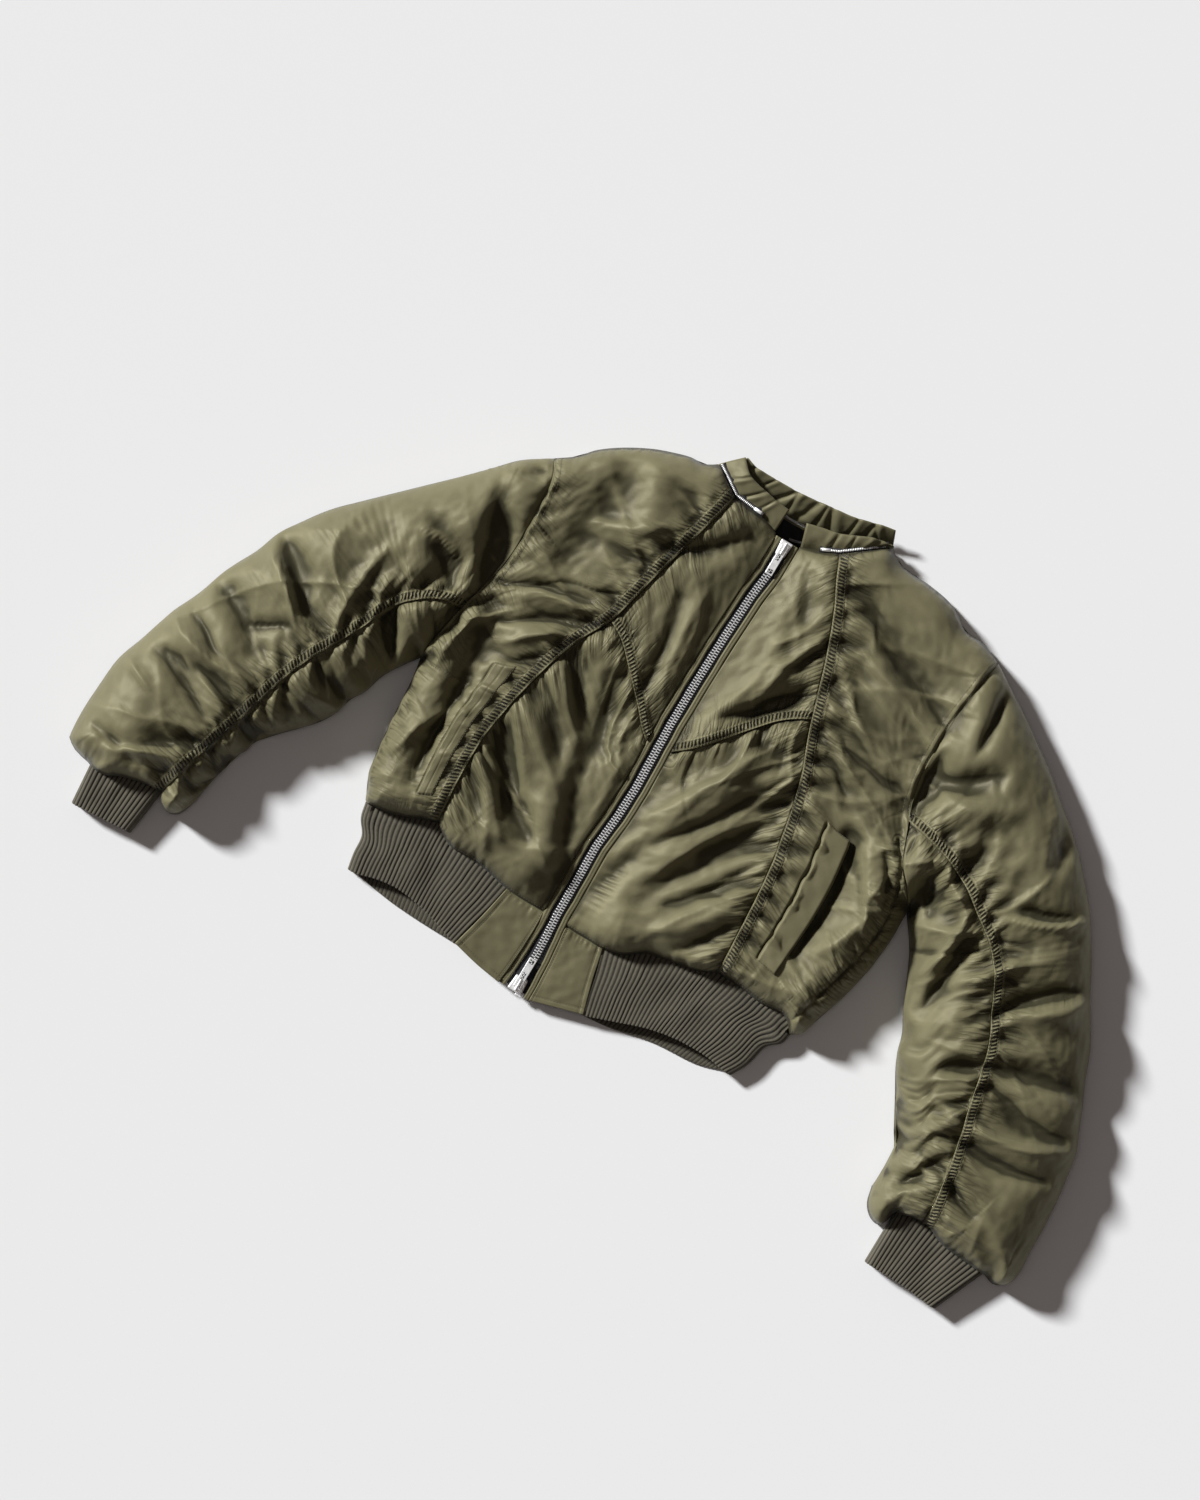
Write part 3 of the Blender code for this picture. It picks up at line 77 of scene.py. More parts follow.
# Edges and seams in plan: x, y
edges = {
    "leftShoulder": ((-97, 298), (-110, 291), (-125, 290), (-145, 284), (-165, 276), (-190, 262),
                     (-210, 247), (-223, 232), (-242, 218)),
    "leftOuter": ((-242, 218), (-270, 199), (-290, 178), (-312, 155), (-335, 132), (-355, 112),
                  (-385, 82), (-410, 56), (-430, 28), (-442, 8), (-452, -18), (-466, -46), (-480, -85),
                  (-493, -114), (-505, -152), (-515, -182), (-518, -215), (-519, -250), (-517, -276)),
    "leftEndOuter": ((-517, -276), (-505, -284), (-484, -289)),
    "leftMouth": ((-484, -289), (-465, -289), (-452, -283), (-436, -278), (-420, -275), (-407, -275)),
    "leftEndInner": ((-407, -275), (-401, -285), (-391, -290), (-381, -284), (-374, -265)),
    "leftInner": ((-254, -24), (-268, -44), (-278, -62), (-284, -82), (-293, -98), (-299, -118),
                  (-313, -139), (-335, -161), (-350, -178), (-360, -202), (-368, -230), (-374, -265)),
    "leftSide": ((-226, -178), (-235, -160), (-240, -146), (-243, -125), (-246, -100), (-248, -75),
                 (-250, -50), (-254, -24)),
    "leftArmholeLow": ((-254, -24), (-250, 2), (-243, 40)),
    "leftArmhole": ((-243, 40), (-236, 68), (-231, 92), (-228, 115), (-228, 140), (-229, 170),
                    (-232, 196), (-242, 218)),
    "leftSleeveSeam": ((-243, 40), (-265, 36), (-284, 24), (-302, 5), (-316, -26), (-331, -56),
                       (-345, -82), (-356, -108), (-364, -135), (-373, -165), (-382, -195),
                       (-391, -222), (-397, -245), (-407, -275)),
    "leftUnderSeam": ((-229, 110), (-292, 48), (-350, -20), (-395, -100), (-424, -180), (-436, -230),
                      (-440, -281)),
    "rightShoulder": ((98, 316), (112, 307), (130, 304), (145, 304), (172, 300), (190, 292),
                      (203, 283), (225, 281), (249, 272)),
    "rightOuter": ((249, 272), (272, 257), (300, 240), (325, 223), (350, 205), (375, 185), (400, 165),
                   (420, 147), (440, 125), (460, 100), (485, 62), (500, 35), (515, 10), (530, -15),
                   (542, -45), (553, -68), (562, -90), (571, -112), (577, -145), (581, -180),
                   (583, -220), (584, -246), (580, -262)),
    "rightEndOuter": ((580, -262), (568, -268), (555, -264)),
    "rightMouth": ((555, -264), (530, -262), (500, -259), (480, -251), (462, -251), (445, -256)),
    "rightEndInner": ((445, -256), (440, -275), (428, -275), (417, -264), (412, -246)),
    "rightInner": ((298, 12), (310, -5), (324, -26), (336, -52), (346, -76), (358, -98), (366, -122),
                   (384, -152), (399, -177), (409, -194), (412, -220), (412, -246)),
    "rightSide": ((262, -158), (272, -148), (280, -125), (288, -100), (294, -75), (298, -50),
                  (300, -20), (298, 12)),
    "rightArmholeLow": ((298, 12), (284, 28), (266, 50), (251, 88)),
    "rightArmhole": ((251, 88), (244, 108), (239, 130), (237, 155), (237, 180), (238, 205),
                     (241, 230), (244, 255), (249, 272)),
    "rightSleeveSeam": ((251, 88), (276, 82), (302, 75), (330, 62), (355, 44), (384, 22), (403, -3),
                        (420, -35), (434, -65), (442, -95), (448, -125), (456, -155), (462, -185),
                        (467, -215), (472, -251)),
    "rightUnderSeam": ((237, 165), (310, 120), (390, 60), (445, -20), (475, -110), (492, -190),
                       (500, -260)),
    "leftPrincess": ((-153, -158), (-155, -130), (-157, -100), (-157, -60), (-152, -25), (-146, 5),
                     (-137, 40), (-124, 75), (-108, 106), (-100, 135), (-93, 165), (-84, 200),
                     (-75, 235), (-69, 258), (-66, 277)),
    "rightPrincess": ((166, -142), (164, -120), (162, -90), (159, -50), (155, -15), (150, 10),
                      (144, 40), (134, 75), (124, 100), (115, 125), (107, 150), (98, 178), (89, 203),
                      (77, 232), (64, 258), (54, 282)),
    "leftYoke": ((-108, 106), (-88, 94), (-66, 72), (-44, 50), (-28, 32), (-17, 22)),
    "rightYoke": ((115, 125), (98, 115), (84, 103), (66, 82), (48, 60), (30, 40), (11, 24)),
    "leftHemSide": ((-226, -178), (-205, -176), (-185, -171), (-168, -163), (-153, -158)),
    "leftHemFront": ((-153, -158), (-143, -165), (-128, -172), (-100, -172), (-80, -175), (-59, -179),
                     (-40, -180), (-15.5, -180)),
    "rightHemSide": ((262, -158), (246, -144), (220, -146), (195, -143), (166, -142)),
    "rightHemFront": ((166, -142), (148, -151), (120, -157), (95, -163), (75, -176), (55, -181),
                      (34, -181), (11.5, -181)),
    "leftNeckSide": ((-97, 298), (-84, 289), (-66, 277)),
    "leftNeckFront": ((-66, 277), (-46, 275), (-28, 273), (-13, 268), (-11, 266)),
    "rightNeckSide": ((98, 316), (76, 299), (54, 282)),
    "rightNeckFront": ((54, 282), (38, 275), (26, 271), (17, 268), (16.5, 266)),
    "backNeck": ((-97, 298), (-60, 292), (0, 288), (55, 297), (98, 316)),
    "backHem": ((-226, -178), (262, -158)),
    "leftRibEdge": ((-226, -178), (-222, -194), (-212, -209), (-210, -228), (-207, -244)),
    "rightRibEdge": ((262, -158), (259, -170), (247, -182), (241, -206), (232, -223)),
    "leftRibFoot": ((-207, -244), (-180, -237), (-155, -235), (-125, -239), (-95, -247), (-76, -253)),
    "rightRibFoot": ((232, -223), (205, -219), (170, -220), (138, -226), (108, -236), (73, -248)),
    "backRibFoot": ((-207, -244), (-155, -251), (-88, -253), (0, -252), (95, -247), (150, -236),
                    (200, -232), (232, -223)),
}


def mixed(a, b, t):
    # straight blend from a to b
    return a + (b - a) * t


def bell(x, width):
    # 1 in the middle, falling off by the square of x over the width
    return np.exp(-((x / width) ** 2))


def unit(v):
    return v / np.linalg.norm(v, axis=-1, keepdims=True)


def smoothCurve(points, steps=14):
    # Catmull-Rom curve: each stretch is a cubic whose end slopes are half the chord of its neighbours
    p = np.asarray(points, float)
    if len(p) < 3:
        return mixed(p[0], p[-1], np.linspace(0, 1, steps + 1)[:, None])
    p = np.vstack([2 * p[0] - p[1], p, 2 * p[-1] - p[-2]])
    t = np.linspace(0, 1, steps, endpoint=False)[:, None, None]
    a, b, c, d = p[:-3], p[1:-2], p[2:-1], p[3:]
    curve = 0.5 * (2 * b + (c - a) * t + (2 * a - 5 * b + 4 * c - d) * t**2 + (3 * b - a - 3 * c + d) * t**3)
    return np.vstack([curve.transpose(1, 0, 2).reshape(-1, p.shape[1]), p[-2:-1]])


curves = {name: smoothCurve(points) for name, points in edges.items()}


def sideLines(side):
    # the curves of one side of the jacket, each by its own plain name
    return {name[len(side):]: line for name, line in curves.items() if name.startswith(side)}


def joined(*lines):
    # lines end to end, without the doubled points
    return np.vstack([lines[0]] + [line[1:] for line in lines[1:]])


def spaced(line, shares):
    # points at the given shares of a line's length
    run = np.r_[0, np.cumsum(np.hypot(*np.diff(line[:, :2], axis=0).T))]
    at = np.asarray(shares) * run[-1]
    return np.column_stack([np.interp(at, run, line[:, k]) for k in range(line.shape[1])])


def lineLength(line):
    return np.hypot(*np.diff(line[:, :2], axis=0).T).sum()


def stepped(parts, shares):
    # points along several curves in turn, each ending at its own share, so corners stay
    if not isinstance(parts, list):
        return spaced(parts, shares)
    shares = np.asarray(shares, float)
    points, begin = np.zeros((len(shares), 2)), 0.0
    for line, stop in parts:
        here = (shares >= begin - 1e-9) & (shares <= stop + 1e-9)
        points[here] = spaced(line, np.clip((shares[here] - begin) / (stop - begin), 0, 1))
        begin = stop
    return points


def coonsGrid(start, end, left, right, across, along):
    # Coons patch: both pairs of edges blended straight, less the corners blended both ways
    u, v = np.asarray(across), np.asarray(along)
    lower, upper, west, east = stepped(start, u), stepped(end, u), stepped(left, v), stepped(right, v)
    uu, vv = u[None, :, None], v[:, None, None]
    ruled = mixed(lower[None], upper[None], vv) + mixed(west[:, None], east[:, None], uu)
    return ruled - mixed(mixed(lower[0], lower[-1], uu), mixed(upper[0], upper[-1], uu), vv)


def zipX(y):
    return np.interp(y, zipLine[:, 0], zipLine[:, 1])


def zipZ(y):
    return np.interp(y, zipLine[:, 0], zipLine[:, 2])


def besideZip(offset, low, high):
    y = np.linspace(low, high, 40)
    return np.column_stack([zipX(y) + offset, y])


def nearestOn(points, line):
    # distance from each point to a line, and the plan direction from the point to it
    p = points[:, None]
    a, run = line[:-1], line[1:] - line[:-1]
    share = np.clip(((p - a) * run).sum(2) / np.maximum((run**2).sum(1), 1e-9), 0, 1)
    away = a + share[..., None] * run - p
    gap2 = (away**2).sum(2)
    pick = gap2.argmin(1)
    rows = np.arange(len(points))
    gap = np.sqrt(gap2[rows, pick])
    return gap, away[rows, pick] / np.maximum(gap, 1e-9)[:, None]


def alongside(points, line):
    # distance from each point to a line and how far along it that is
    shape = points.shape[:-1]
    p = points.reshape(-1, 1, 2)
    run = np.diff(line, axis=0)
    length = np.linalg.norm(run, axis=1)
    share = np.clip(((p - line[:-1]) * run).sum(2) / length**2, 0, 1)
    gap = np.linalg.norm(line[:-1] + share[..., None] * run - p, axis=2)
    pick = gap.argmin(1)
    rows = np.arange(len(pick))
    start = np.r_[0, np.cumsum(length)]
    return gap[rows, pick].reshape(shape), (start[pick] + share[rows, pick] * length[pick]).reshape(shape)


def openLines():
    c = curves
    leftToFloor = joined(c["leftShoulder"], c["leftOuter"], c["leftEndOuter"])
    leftInside = joined(c["leftEndInner"], c["leftInner"][::-1], c["leftSide"][::-1])
    rightInside = joined(c["rightSide"], c["rightInner"], c["rightEndInner"][::-1])
    rightToFloor = joined(c["rightEndOuter"][::-1], c["rightOuter"][::-1], c["rightShoulder"][::-1])
    hem = joined(c["leftHemSide"], c["leftHemFront"], c["rightHemFront"][::-1], c["rightHemSide"][::-1])
    neck = joined(c["rightNeckSide"], c["rightNeckFront"], c["leftNeckFront"][::-1], c["leftNeckSide"][::-1])
    return [leftToFloor, leftInside, rightInside, rightToFloor], hem, neck, [c["leftMouth"], c["rightMouth"]]


folded, hemLine, neckLine, mouths = openLines()


def topHeight(plan):
    # height over the floor: a quarter ellipse of the distance to each edge, the lowest of all of them,
    # eased down to the zip's own height beside it
    shape = plan.shape[:-1]
    p = plan.reshape(-1, 2)
    arm = np.clip((np.abs(p[:, 0]) - 215) / 70, 0, 1)
    arm = arm * arm * (3 - 2 * arm)
    high = mixed(jacket["bodyHeight"], jacket["sleeveHeight"], arm)
    reach = mixed(jacket["bodyRound"], jacket["sleeveRound"], arm)
    height = np.full(len(p), 1e6)
    kinds = [(line, jacket["edgeHeight"], reach, 0.0) for line in folded]
    kinds += [(hemLine, 0.0, 34.0, 0.08), (neckLine, 14.0, 40.0, 0.16)]
    kinds += [(line, 8.0, 40.0, 0.08) for line in mouths]
    for line, base, run, cut in kinds:
        gap = nearestOn(p, line)[0]
        flat = np.clip(1 - gap / run - cut, 0, 1)
        height = np.minimum(height, base + (high - base) * np.sqrt(1 - flat**2))
    beside = np.clip(np.abs(p[:, 0] - zipX(p[:, 1])) / 60, 0, 1)
    return mixed(zipZ(p[:, 1]), height, beside * beside * (3 - 2 * beside)).reshape(shape)


def underHeight(plan):
    # flat on the floor, rolling up by a quarter circle at the folded edge
    p = plan.reshape(-1, 2)
    gap = np.min([nearestOn(p, line)[0] for line in folded], axis=0)
    flat = np.clip(1 - gap / jacket["underRoll"], 0, 1)
    return (jacket["edgeHeight"] * (1 - np.sqrt(1 - flat**2))).reshape(plan.shape[:-1])


# Creases, listed: start x, y, end x, y, bow sideways, half width, height (a trough is negative)
creases = np.array([
    (-300, 92, -268, 60, 3, 14, -9), (-345, 60, -322, -30, -6, 22, -4),
    (-262, 150, -236, 60, 4, 15, -12), (-430, 8, -380, -40, 4, 12, -10),
    (-425, -18, -340, -62, -6, 9, 7), (-468, -62, -400, -100, 5, 14, -9),
    (-470, -150, -385, -162, 5, 10, -8), (-480, -120, -400, -134, -5, 9, 7),
    (-450, -245, -390, -212, 4, 10, -9), (-470, -262, -400, -236, 4, 9, 7),
    (-255, 190, -238, 205, 0, 7, -8), (-250, 0, -243, 45, 0, 10, -14), (-278, -40, -300, 10, 3, 10, -14),
    (-215, 60, -205, -30, 4, 14, -9), (-200, -20, -196, -130, -4, 9, -12),
    (-236, -20, -226, 40, 2, 8, 7), (-225, -110, -205, -60, 3, 9, 6), (-180, 130, -172, 240, -4, 16, -6),
    (-140, 250, -125, 190, 3, 16, 6), (-215, 85, -140, 108, 5, 8, -7), (-190, 95, -120, 112, -4, 8, 6),
    (-148, -15, -75, -62, 6, 12, 7), (-140, -45, -70, -118, -6, 13, -9), (-150, -80, -95, -135, 5, 9, 7),
    (-105, -10, -45, -110, 8, 15, -9), (-75, -25, -35, -130, -5, 12, 10),
    (-130, 60, -70, -15, 6, 16, -8), (-60, 160, -45, 60, 4, 10, -7), (-35, 250, -90, 200, 6, 10, -8),
    (-40, 170, -30, 70, -3, 10, 6), (40, 240, 60, 170, 4, 12, -6), (82, 195, 60, 120, -4, 9, 7),
    (92, 145, 42, 85, 5, 10, -11), (140, 55, 90, -40, 6, 14, -9), (150, -5, 60, -120, -10, 12, -6),
    (150, -60, 100, -130, 5, 10, 7), (20, 20, 50, 90, 3, 12, 5), (80, 60, 60, -60, 5, 14, 4),
    (75, 262, 180, 205, 8, 14, -5), (150, 240, 230, 195, 5, 16, -4), (165, 195, 225, 150, 4, 12, -3),
    (150, 205, 205, 165, -4, 12, 4), (118, 145, 225, 120, 6, 9, 4), (120, 132, 230, 108, -5, 7, -3),
    (208, 40, 218, -80, 3, 13, -12), (225, 110, 262, 60, 3, 12, -8), (215, 60, 270, -10, 5, 12, 7),
    (262, -20, 240, -70, 3, 9, 6), (247, 150, 252, 105, 2, 11, -13), (300, 168, 258, 140, 3, 12, -8),
    (275, 125, 320, 140, -3, 12, 6), (268, 250, 274, 190, 2, 8, -8), (388, 175, 400, 132, 3, 12, -7),
    (330, 92, 322, 60, 0, 9, -7), (460, 98, 395, 58, 5, 8, 8), (440, 88, 400, 74, 3, 9, -8),
    (500, 25, 440, -22, 6, 10, 8), (480, 25, 425, -35, -5, 10, -9), (410, 15, 380, -20, 3, 9, 8),
    (315, 20, 300, 45, 0, 9, -12), (345, 40, 305, 70, 3, 8, 8), (362, 10, 358, -80, 4, 11, -9),
    (346, 30, 342, -30, 3, 8, 8), (545, -108, 460, -98, 6, 11, -9), (540, -60, 460, -82, -5, 12, -8),
    (548, -120, 470, -140, 5, 9, 7), (548, -152, 460, -160, 5, 9, -7), (440, -140, 415, -180, 3, 10, 6),
    (450, -185, 425, -235, 3, 9, -8), (500, -215, 470, -195, 3, 8, -7), (415, -100, 440, -85, 0, 9, -7),
    (-74, 57, -52, -31, 4, 13, -8), (-138, -31, -97, -86, 4, 8, 6), (-141, -53, -102, -119, 5, 8, -7),
    (-146, -86, -97, -163, 6, 8, 6), (-121, 41, -80, -9, -4, 9, 6), (-33, 157, -25, 68, 2, 5, 3),
    (-27, -9, -23, -119, 2, 5, 3), (85, 63, 25, -42, 4, 10, 6), (108, 35, 47, -59, 5, 10, -7),
    (124, 13, 61, -86, -5, 9, 6), (141, -31, 86, -108, 5, 9, -7), (146, -64, 91, -136, -4, 8, 6),
    (149, -97, 113, -147, 3, 8, -6), (52, -9, 19, -86, 4, 11, 5), (36, -53, 17, -130, 3, 10, -5),
    (69, 217, 47, 173, 4, 9, 5), (36, 239, 61, 190, -4, 8, 4), (91, 200, 69, 157, 3, 8, -6),
    (102, 145, 69, 118, 3, 7, -9), (47, 134, 19, 68, 4, 10, 4), (113, 190, 201, 118, -6, 8, 4),
    (119, 168, 196, 118, -5, 7, -3), (113, 134, 179, 96, 4, 7, 4), (119, 118, 190, 68, 5, 7, -3),
    (135, 79, 179, 41, -4, 7, 5), (141, 201, 234, 162, 5, 9, 5), (146, 223, 229, 190, 4, 10, -5),
    (-102, 217, -168, 184, 4, 10, 5), (-113, 96, -196, 52, -5, 8, -7), (-130, 74, -185, 35, -4, 8, 6),
    (-141, 52, -174, 19, 3, 7, -5), (-207, 57, -229, 35, 2, 7, 5), (228, 40, 268, -32, 2, 5, 6),
    (249, 44, 271, 6, 2, 5, -7), (-429, -14, -379, -58, 4, 6, 5), (-396, -45, -339, -62, 4, 9, -5),
    (-477, -157, -411, -185, 4, 9, -6), (-452, -148, -395, -170, 3, 5, 5),
    (-491, -251, -438, -264, 3, 9, -5), (-417, -86, -380, -65, 0, 4, -5), (-338, -50, -337, 42, 5, 9, 6),
    (-312, 86, -274, 80, 3, 6, 6), (-271, 76, -298, 25, 3, 11, -7), (-505, -178, -470, -190, 2, 5, 4),
    (-466, -104, -430, -128, 3, 9, -5)
], float)

# Side seam that shows on top at the right: x, y
sideSeamLine = np.array([
    (253, 66), (268, 38), (280, 15), (285, 0), (282, -25), (278, -50), (272, -80), (268, -100), (255, -142),
], float)


def creaseHeight(p):
    # sum over the creases: height times a bell (wide ones) or a narrow peak (slim ones) across, one flank
    # steeper, fading beyond both ends; the line bows by a parabola
    total = np.zeros(p.shape[:-1])
    flat = p.reshape(-1, 2)
    out = total.reshape(-1)
    for x0, y0, x1, y1, bow, half, rise in creases:
        reach = 3.2 * half + abs(bow)
        near = np.nonzero((flat[:, 0] > min(x0, x1) - reach) & (flat[:, 0] < max(x0, x1) + reach)
                          & (flat[:, 1] > min(y0, y1) - reach) & (flat[:, 1] < max(y0, y1) + reach))[0]
        if not len(near):
            continue
        run = np.array([x1 - x0, y1 - y0])
        length = math.hypot(*run)
        run /= length
        off = flat[near] - (x0, y0)
        along = off @ run
        share = np.clip(along / length, 0, 1)
        side = off @ np.array([-run[1], run[0]]) - bow * 4 * share * (1 - share)
        beyond = np.maximum(np.maximum(-along, along - length), 0)
        width = half * (0.75 + 0.25 * np.sin(np.pi * share))
        steep = np.where(side * bow >= 0, 0.8, 1.25) * side / width
        tip = bell(beyond, half) * (0.35 + 0.65 * np.sin(np.pi * (0.08 + 0.84 * share)))
        crisp = np.clip((12.5 - half) / 4.5, 0, 1)
        peak = np.exp(-1.5 * (np.sqrt(steep**2 + 0.05) - 0.22))
        out[near] += rise * tip * mixed(1.25 * np.exp(-0.6 * steep**2), 1.1 * peak, crisp)
    return total


def cubicWeights(fine, coarse):
    # matrix that takes values at evenly numbered coarse places to fine ones by Catmull-Rom cubics;
    # fine holds positions counted in coarse steps
    base = np.clip(np.floor(fine).astype(int), 0, coarse - 2)
    t = fine - base
    w = np.stack([-0.5 * t + t**2 - 0.5 * t**3, 1 - 2.5 * t**2 + 1.5 * t**3,
                  0.5 * t + 2 * t**2 - 1.5 * t**3, -0.5 * t**2 + 0.5 * t**3])
    full = np.zeros((len(fine), coarse + 2))
    for k in range(4):
        full[np.arange(len(fine)), base + k] += w[k]
    full[:, 1] += 2 * full[:, 0]
    full[:, 2] -= full[:, 0]
    full[:, -2] += 2 * full[:, -1]
    full[:, -3] -= full[:, -1]
    return full[:, 1:-1]


def refined(values, rowsAt, columnsAt):
    # cubic resampling of a coarse grid at row and column positions counted in coarse steps
    rows, columns = values.shape[:2]
    a, b = cubicWeights(rowsAt, rows), cubicWeights(columnsAt, columns)
    flat = a @ values.reshape(rows, -1)
    flat = flat.reshape(len(rowsAt), columns, -1)
    return np.einsum("fc,rck->rfk", b, flat).reshape((len(rowsAt), len(columnsAt)) + values.shape[2:])


def smoothNoise(shape, cells, seed):
    # random values on a coarse grid carried to the fine one by cubics, about -1 to 1
    rng = np.random.default_rng(seed)
    rows, columns = max(cells[0], 4), max(cells[1], 4)
    grid = rng.uniform(-1, 1, (rows, columns))
    return refined(grid, np.linspace(0, rows - 1, shape[0]), np.linspace(0, columns - 1, shape[1]))


def averaged(a):
    # mean of the four neighbours, with the border repeated
    out = np.empty_like(a)
    out[1:-1] = a[2:] + a[:-2]
    out[0] = a[0] + a[1]
    out[-1] = a[-1] + a[-2]
    out[:, 1:-1] += a[:, 2:] + a[:, :-2]
    out[:, 0] += a[:, 0] + a[:, 1]
    out[:, -1] += a[:, -1] + a[:, -2]
    return out * 0.25


def settled(base, spareU, spareV, wave, step, free, turns, seed):
    # cloth with spare length: its grid edges are pulled to the base's lengths times 1 + spare, while a
    # bending term (fourth difference) and a soft hold on the base choose waves about as long as asked
    base = base.astype(np.float32)
    both = (spareU + spareV)[1:, 1:]
    # ties between neighbours across, along and over both diagonals: from, to, twice the spare, stiffness
    ties = [(np.s_[:, :-1], np.s_[:, 1:], spareU[:, 1:] + spareU[:, :-1], 0.42),
            (np.s_[:-1], np.s_[1:], spareV[1:] + spareV[:-1], 0.42),
            (np.s_[:-1, :-1], np.s_[1:, 1:], both, 0.2), (np.s_[:-1, 1:], np.s_[1:, :-1], both, 0.2)]
    ties = [(a, b, (np.linalg.norm(base[b] - base[a], axis=2) * (1 + 0.5 * spare)).astype(np.float32), share)
            for a, b, spare, share in ties]
    ratio = (wave / (math.pi * step)) ** 4
    bend = np.minimum(0.2, 0.03 * ratio).astype(np.float32)
    hold = (bend / ratio).astype(np.float32)[..., None]
    bend = bend[..., None]
    rng = np.random.default_rng(seed)
    x = base.copy()
    rough = averaged(averaged(rng.normal(0, 1, base.shape[:2] + (1,)).astype(np.float32)))
    x[..., 2:] += 1.6 * rough * free[..., None]
    free = free.astype(np.float32)[..., None]
    old = x.copy()
    for turn in range(turns):
        ease = 1.0 if turn < 0.6 * turns else 0.45
        ahead = x + 0.75 * (x - old)
        old, x = x, ahead
        # the diagonals are pulled on every other turn
        for a, b, length, share in ties[:4 if turn % 2 else 2]:
            d = x[b] - x[a]
            now = np.sqrt(np.einsum("ijk,ijk->ij", d, d)) + 1e-6
            d = d * (share * (1 - length / now))[..., None]
            x[a] += d
            x[b] -= d
        moved = x - base
        first = averaged(moved) - moved
        x -= ease * (bend * (averaged(first) - first) + hold * moved)
        x = base + (x - base) * free
    return x


borderOrder = {"left": 0, "right": 1, "start": 2, "end": 3}

# Folds at a gathered seam: spacing, height, share of the gathers' run, slimness; creases between, folds over
gatherKinds = ((9, -1.5, 1.1, 1.6), (18, -2.4, 2.2, 2.4), (26, 4.4, 4.6, 4.5))


def gridLengths(points):
    # distance travelled along the rows and along the columns of a grid
    u = np.linalg.norm(np.diff(points, axis=1), axis=2)
    v = np.linalg.norm(np.diff(points, axis=0), axis=2)
    return (np.hstack([np.zeros((len(points), 1)), np.cumsum(u, axis=1)]),
            np.vstack([np.zeros((1, points.shape[1])), np.cumsum(v, axis=0)]))


def borderGaps(grid):
    # distance in from the left, right, start and end borders, over the cloth
    u, v = gridLengths(grid)
    return [u, u[:, -1:] - u, v, v[-1:] - v]


def freeInside(shape):
    # 1 where the cloth may settle and 0 on its borders
    free = np.ones(shape)
    free[0] = free[-1] = 0
    free[:, 0] = free[:, -1] = 0
    return free


def gathered(side, extra, spareU, spareV):
    # a gathered border has its spare cloth along itself
    return (spareU, spareV + extra) if side in ("left", "right") else (spareU + extra, spareV)


def coarseSurface(build, acrossAt, alongAt, sizes, seed):
    # plan from build(across, along), heights and creases on a coarse grid, settled into its wide waves and
    # carried to the fine grid
    step, rough = jacket["gridStep"], jacket["coarseStep"]
    wide, tall = sizes["wide"], sizes["tall"]
    columns, rows = int(wide / step) + 1, int(tall / step) + 1
    coarseColumns, coarseRows = max(int(wide / rough), 8) + 1, max(int(tall / rough), 8) + 1
    cu, cv = acrossAt(np.linspace(0, 1, coarseColumns)), alongAt(np.linspace(0, 1, coarseRows))
    plan = build(cu, cv)
    height = topHeight(plan)
    flat = plan.reshape(-1, 2)
    edge = np.min([nearestOn(flat, line)[0] for line in folded + [hemLine, neckLine] + mouths], axis=0)
    fade = np.clip(edge / 20, 0, 1).reshape(height.shape)
    besideTheZip = np.clip(np.abs(plan[..., 0] - zipX(plan[..., 1])) / 25, 0, 1)
    height = height + np.clip(1.1 * creaseHeight(plan), -14, 11) * fade * besideTheZip
    base = np.dstack([plan, height])
    reach = borderGaps(base)
    cells = max(int(tall / 38), 4), max(int(wide / 38), 4)
    spareU, spareV = (sizes["spare"] * (1 + 0.8 * smoothNoise(height.shape, cells, seed + k)) for k in (0, 1))
    for side, amount, run, band, slant in sizes["gathers"]:
        near = amount * np.exp(-reach[borderOrder[side]] / (run * 1.6)) * 0.45
        spareU, spareV = gathered(side, near, spareU, spareV)
    # columns that crowd to the fold would buckle into too short waves, so they get less spare cloth
    crowded = np.gradient(reach[0], axis=1) / rough
    spareU = spareU * np.clip(crowded, 0, 1) ** 2
    wave = np.full(height.shape, float(sizes["wave"]))
    coarse = settled(base, np.maximum(spareU, 0), np.maximum(spareV, 0), wave, rough,
                     freeInside(height.shape), 160, seed)
    # and the zigzag from column to column is averaged out of them
    calm = np.clip(1.15 - crowded, 0.25, 1)[:, 1:-1, None]
    for turn in range(4):
        mean = (coarse[:, :-2] + 2 * coarse[:, 1:-1] + coarse[:, 2:]) / 4
        coarse[:, 1:-1] = mixed(coarse[:, 1:-1], mean, calm)
    rowsAt = np.linspace(0, coarseRows - 1, rows)
    columnsAt = np.linspace(0, coarseColumns - 1, columns)
    fine = refined(coarse.astype(float), rowsAt, columnsAt)
    exact = build(acrossAt(np.linspace(0, 1, columns)), alongAt(np.linspace(0, 1, rows)))
    for rim in (np.s_[0], np.s_[-1], np.s_[:, 0], np.s_[:, -1]):
        fine[rim][..., :2] = exact[rim]
    return fine


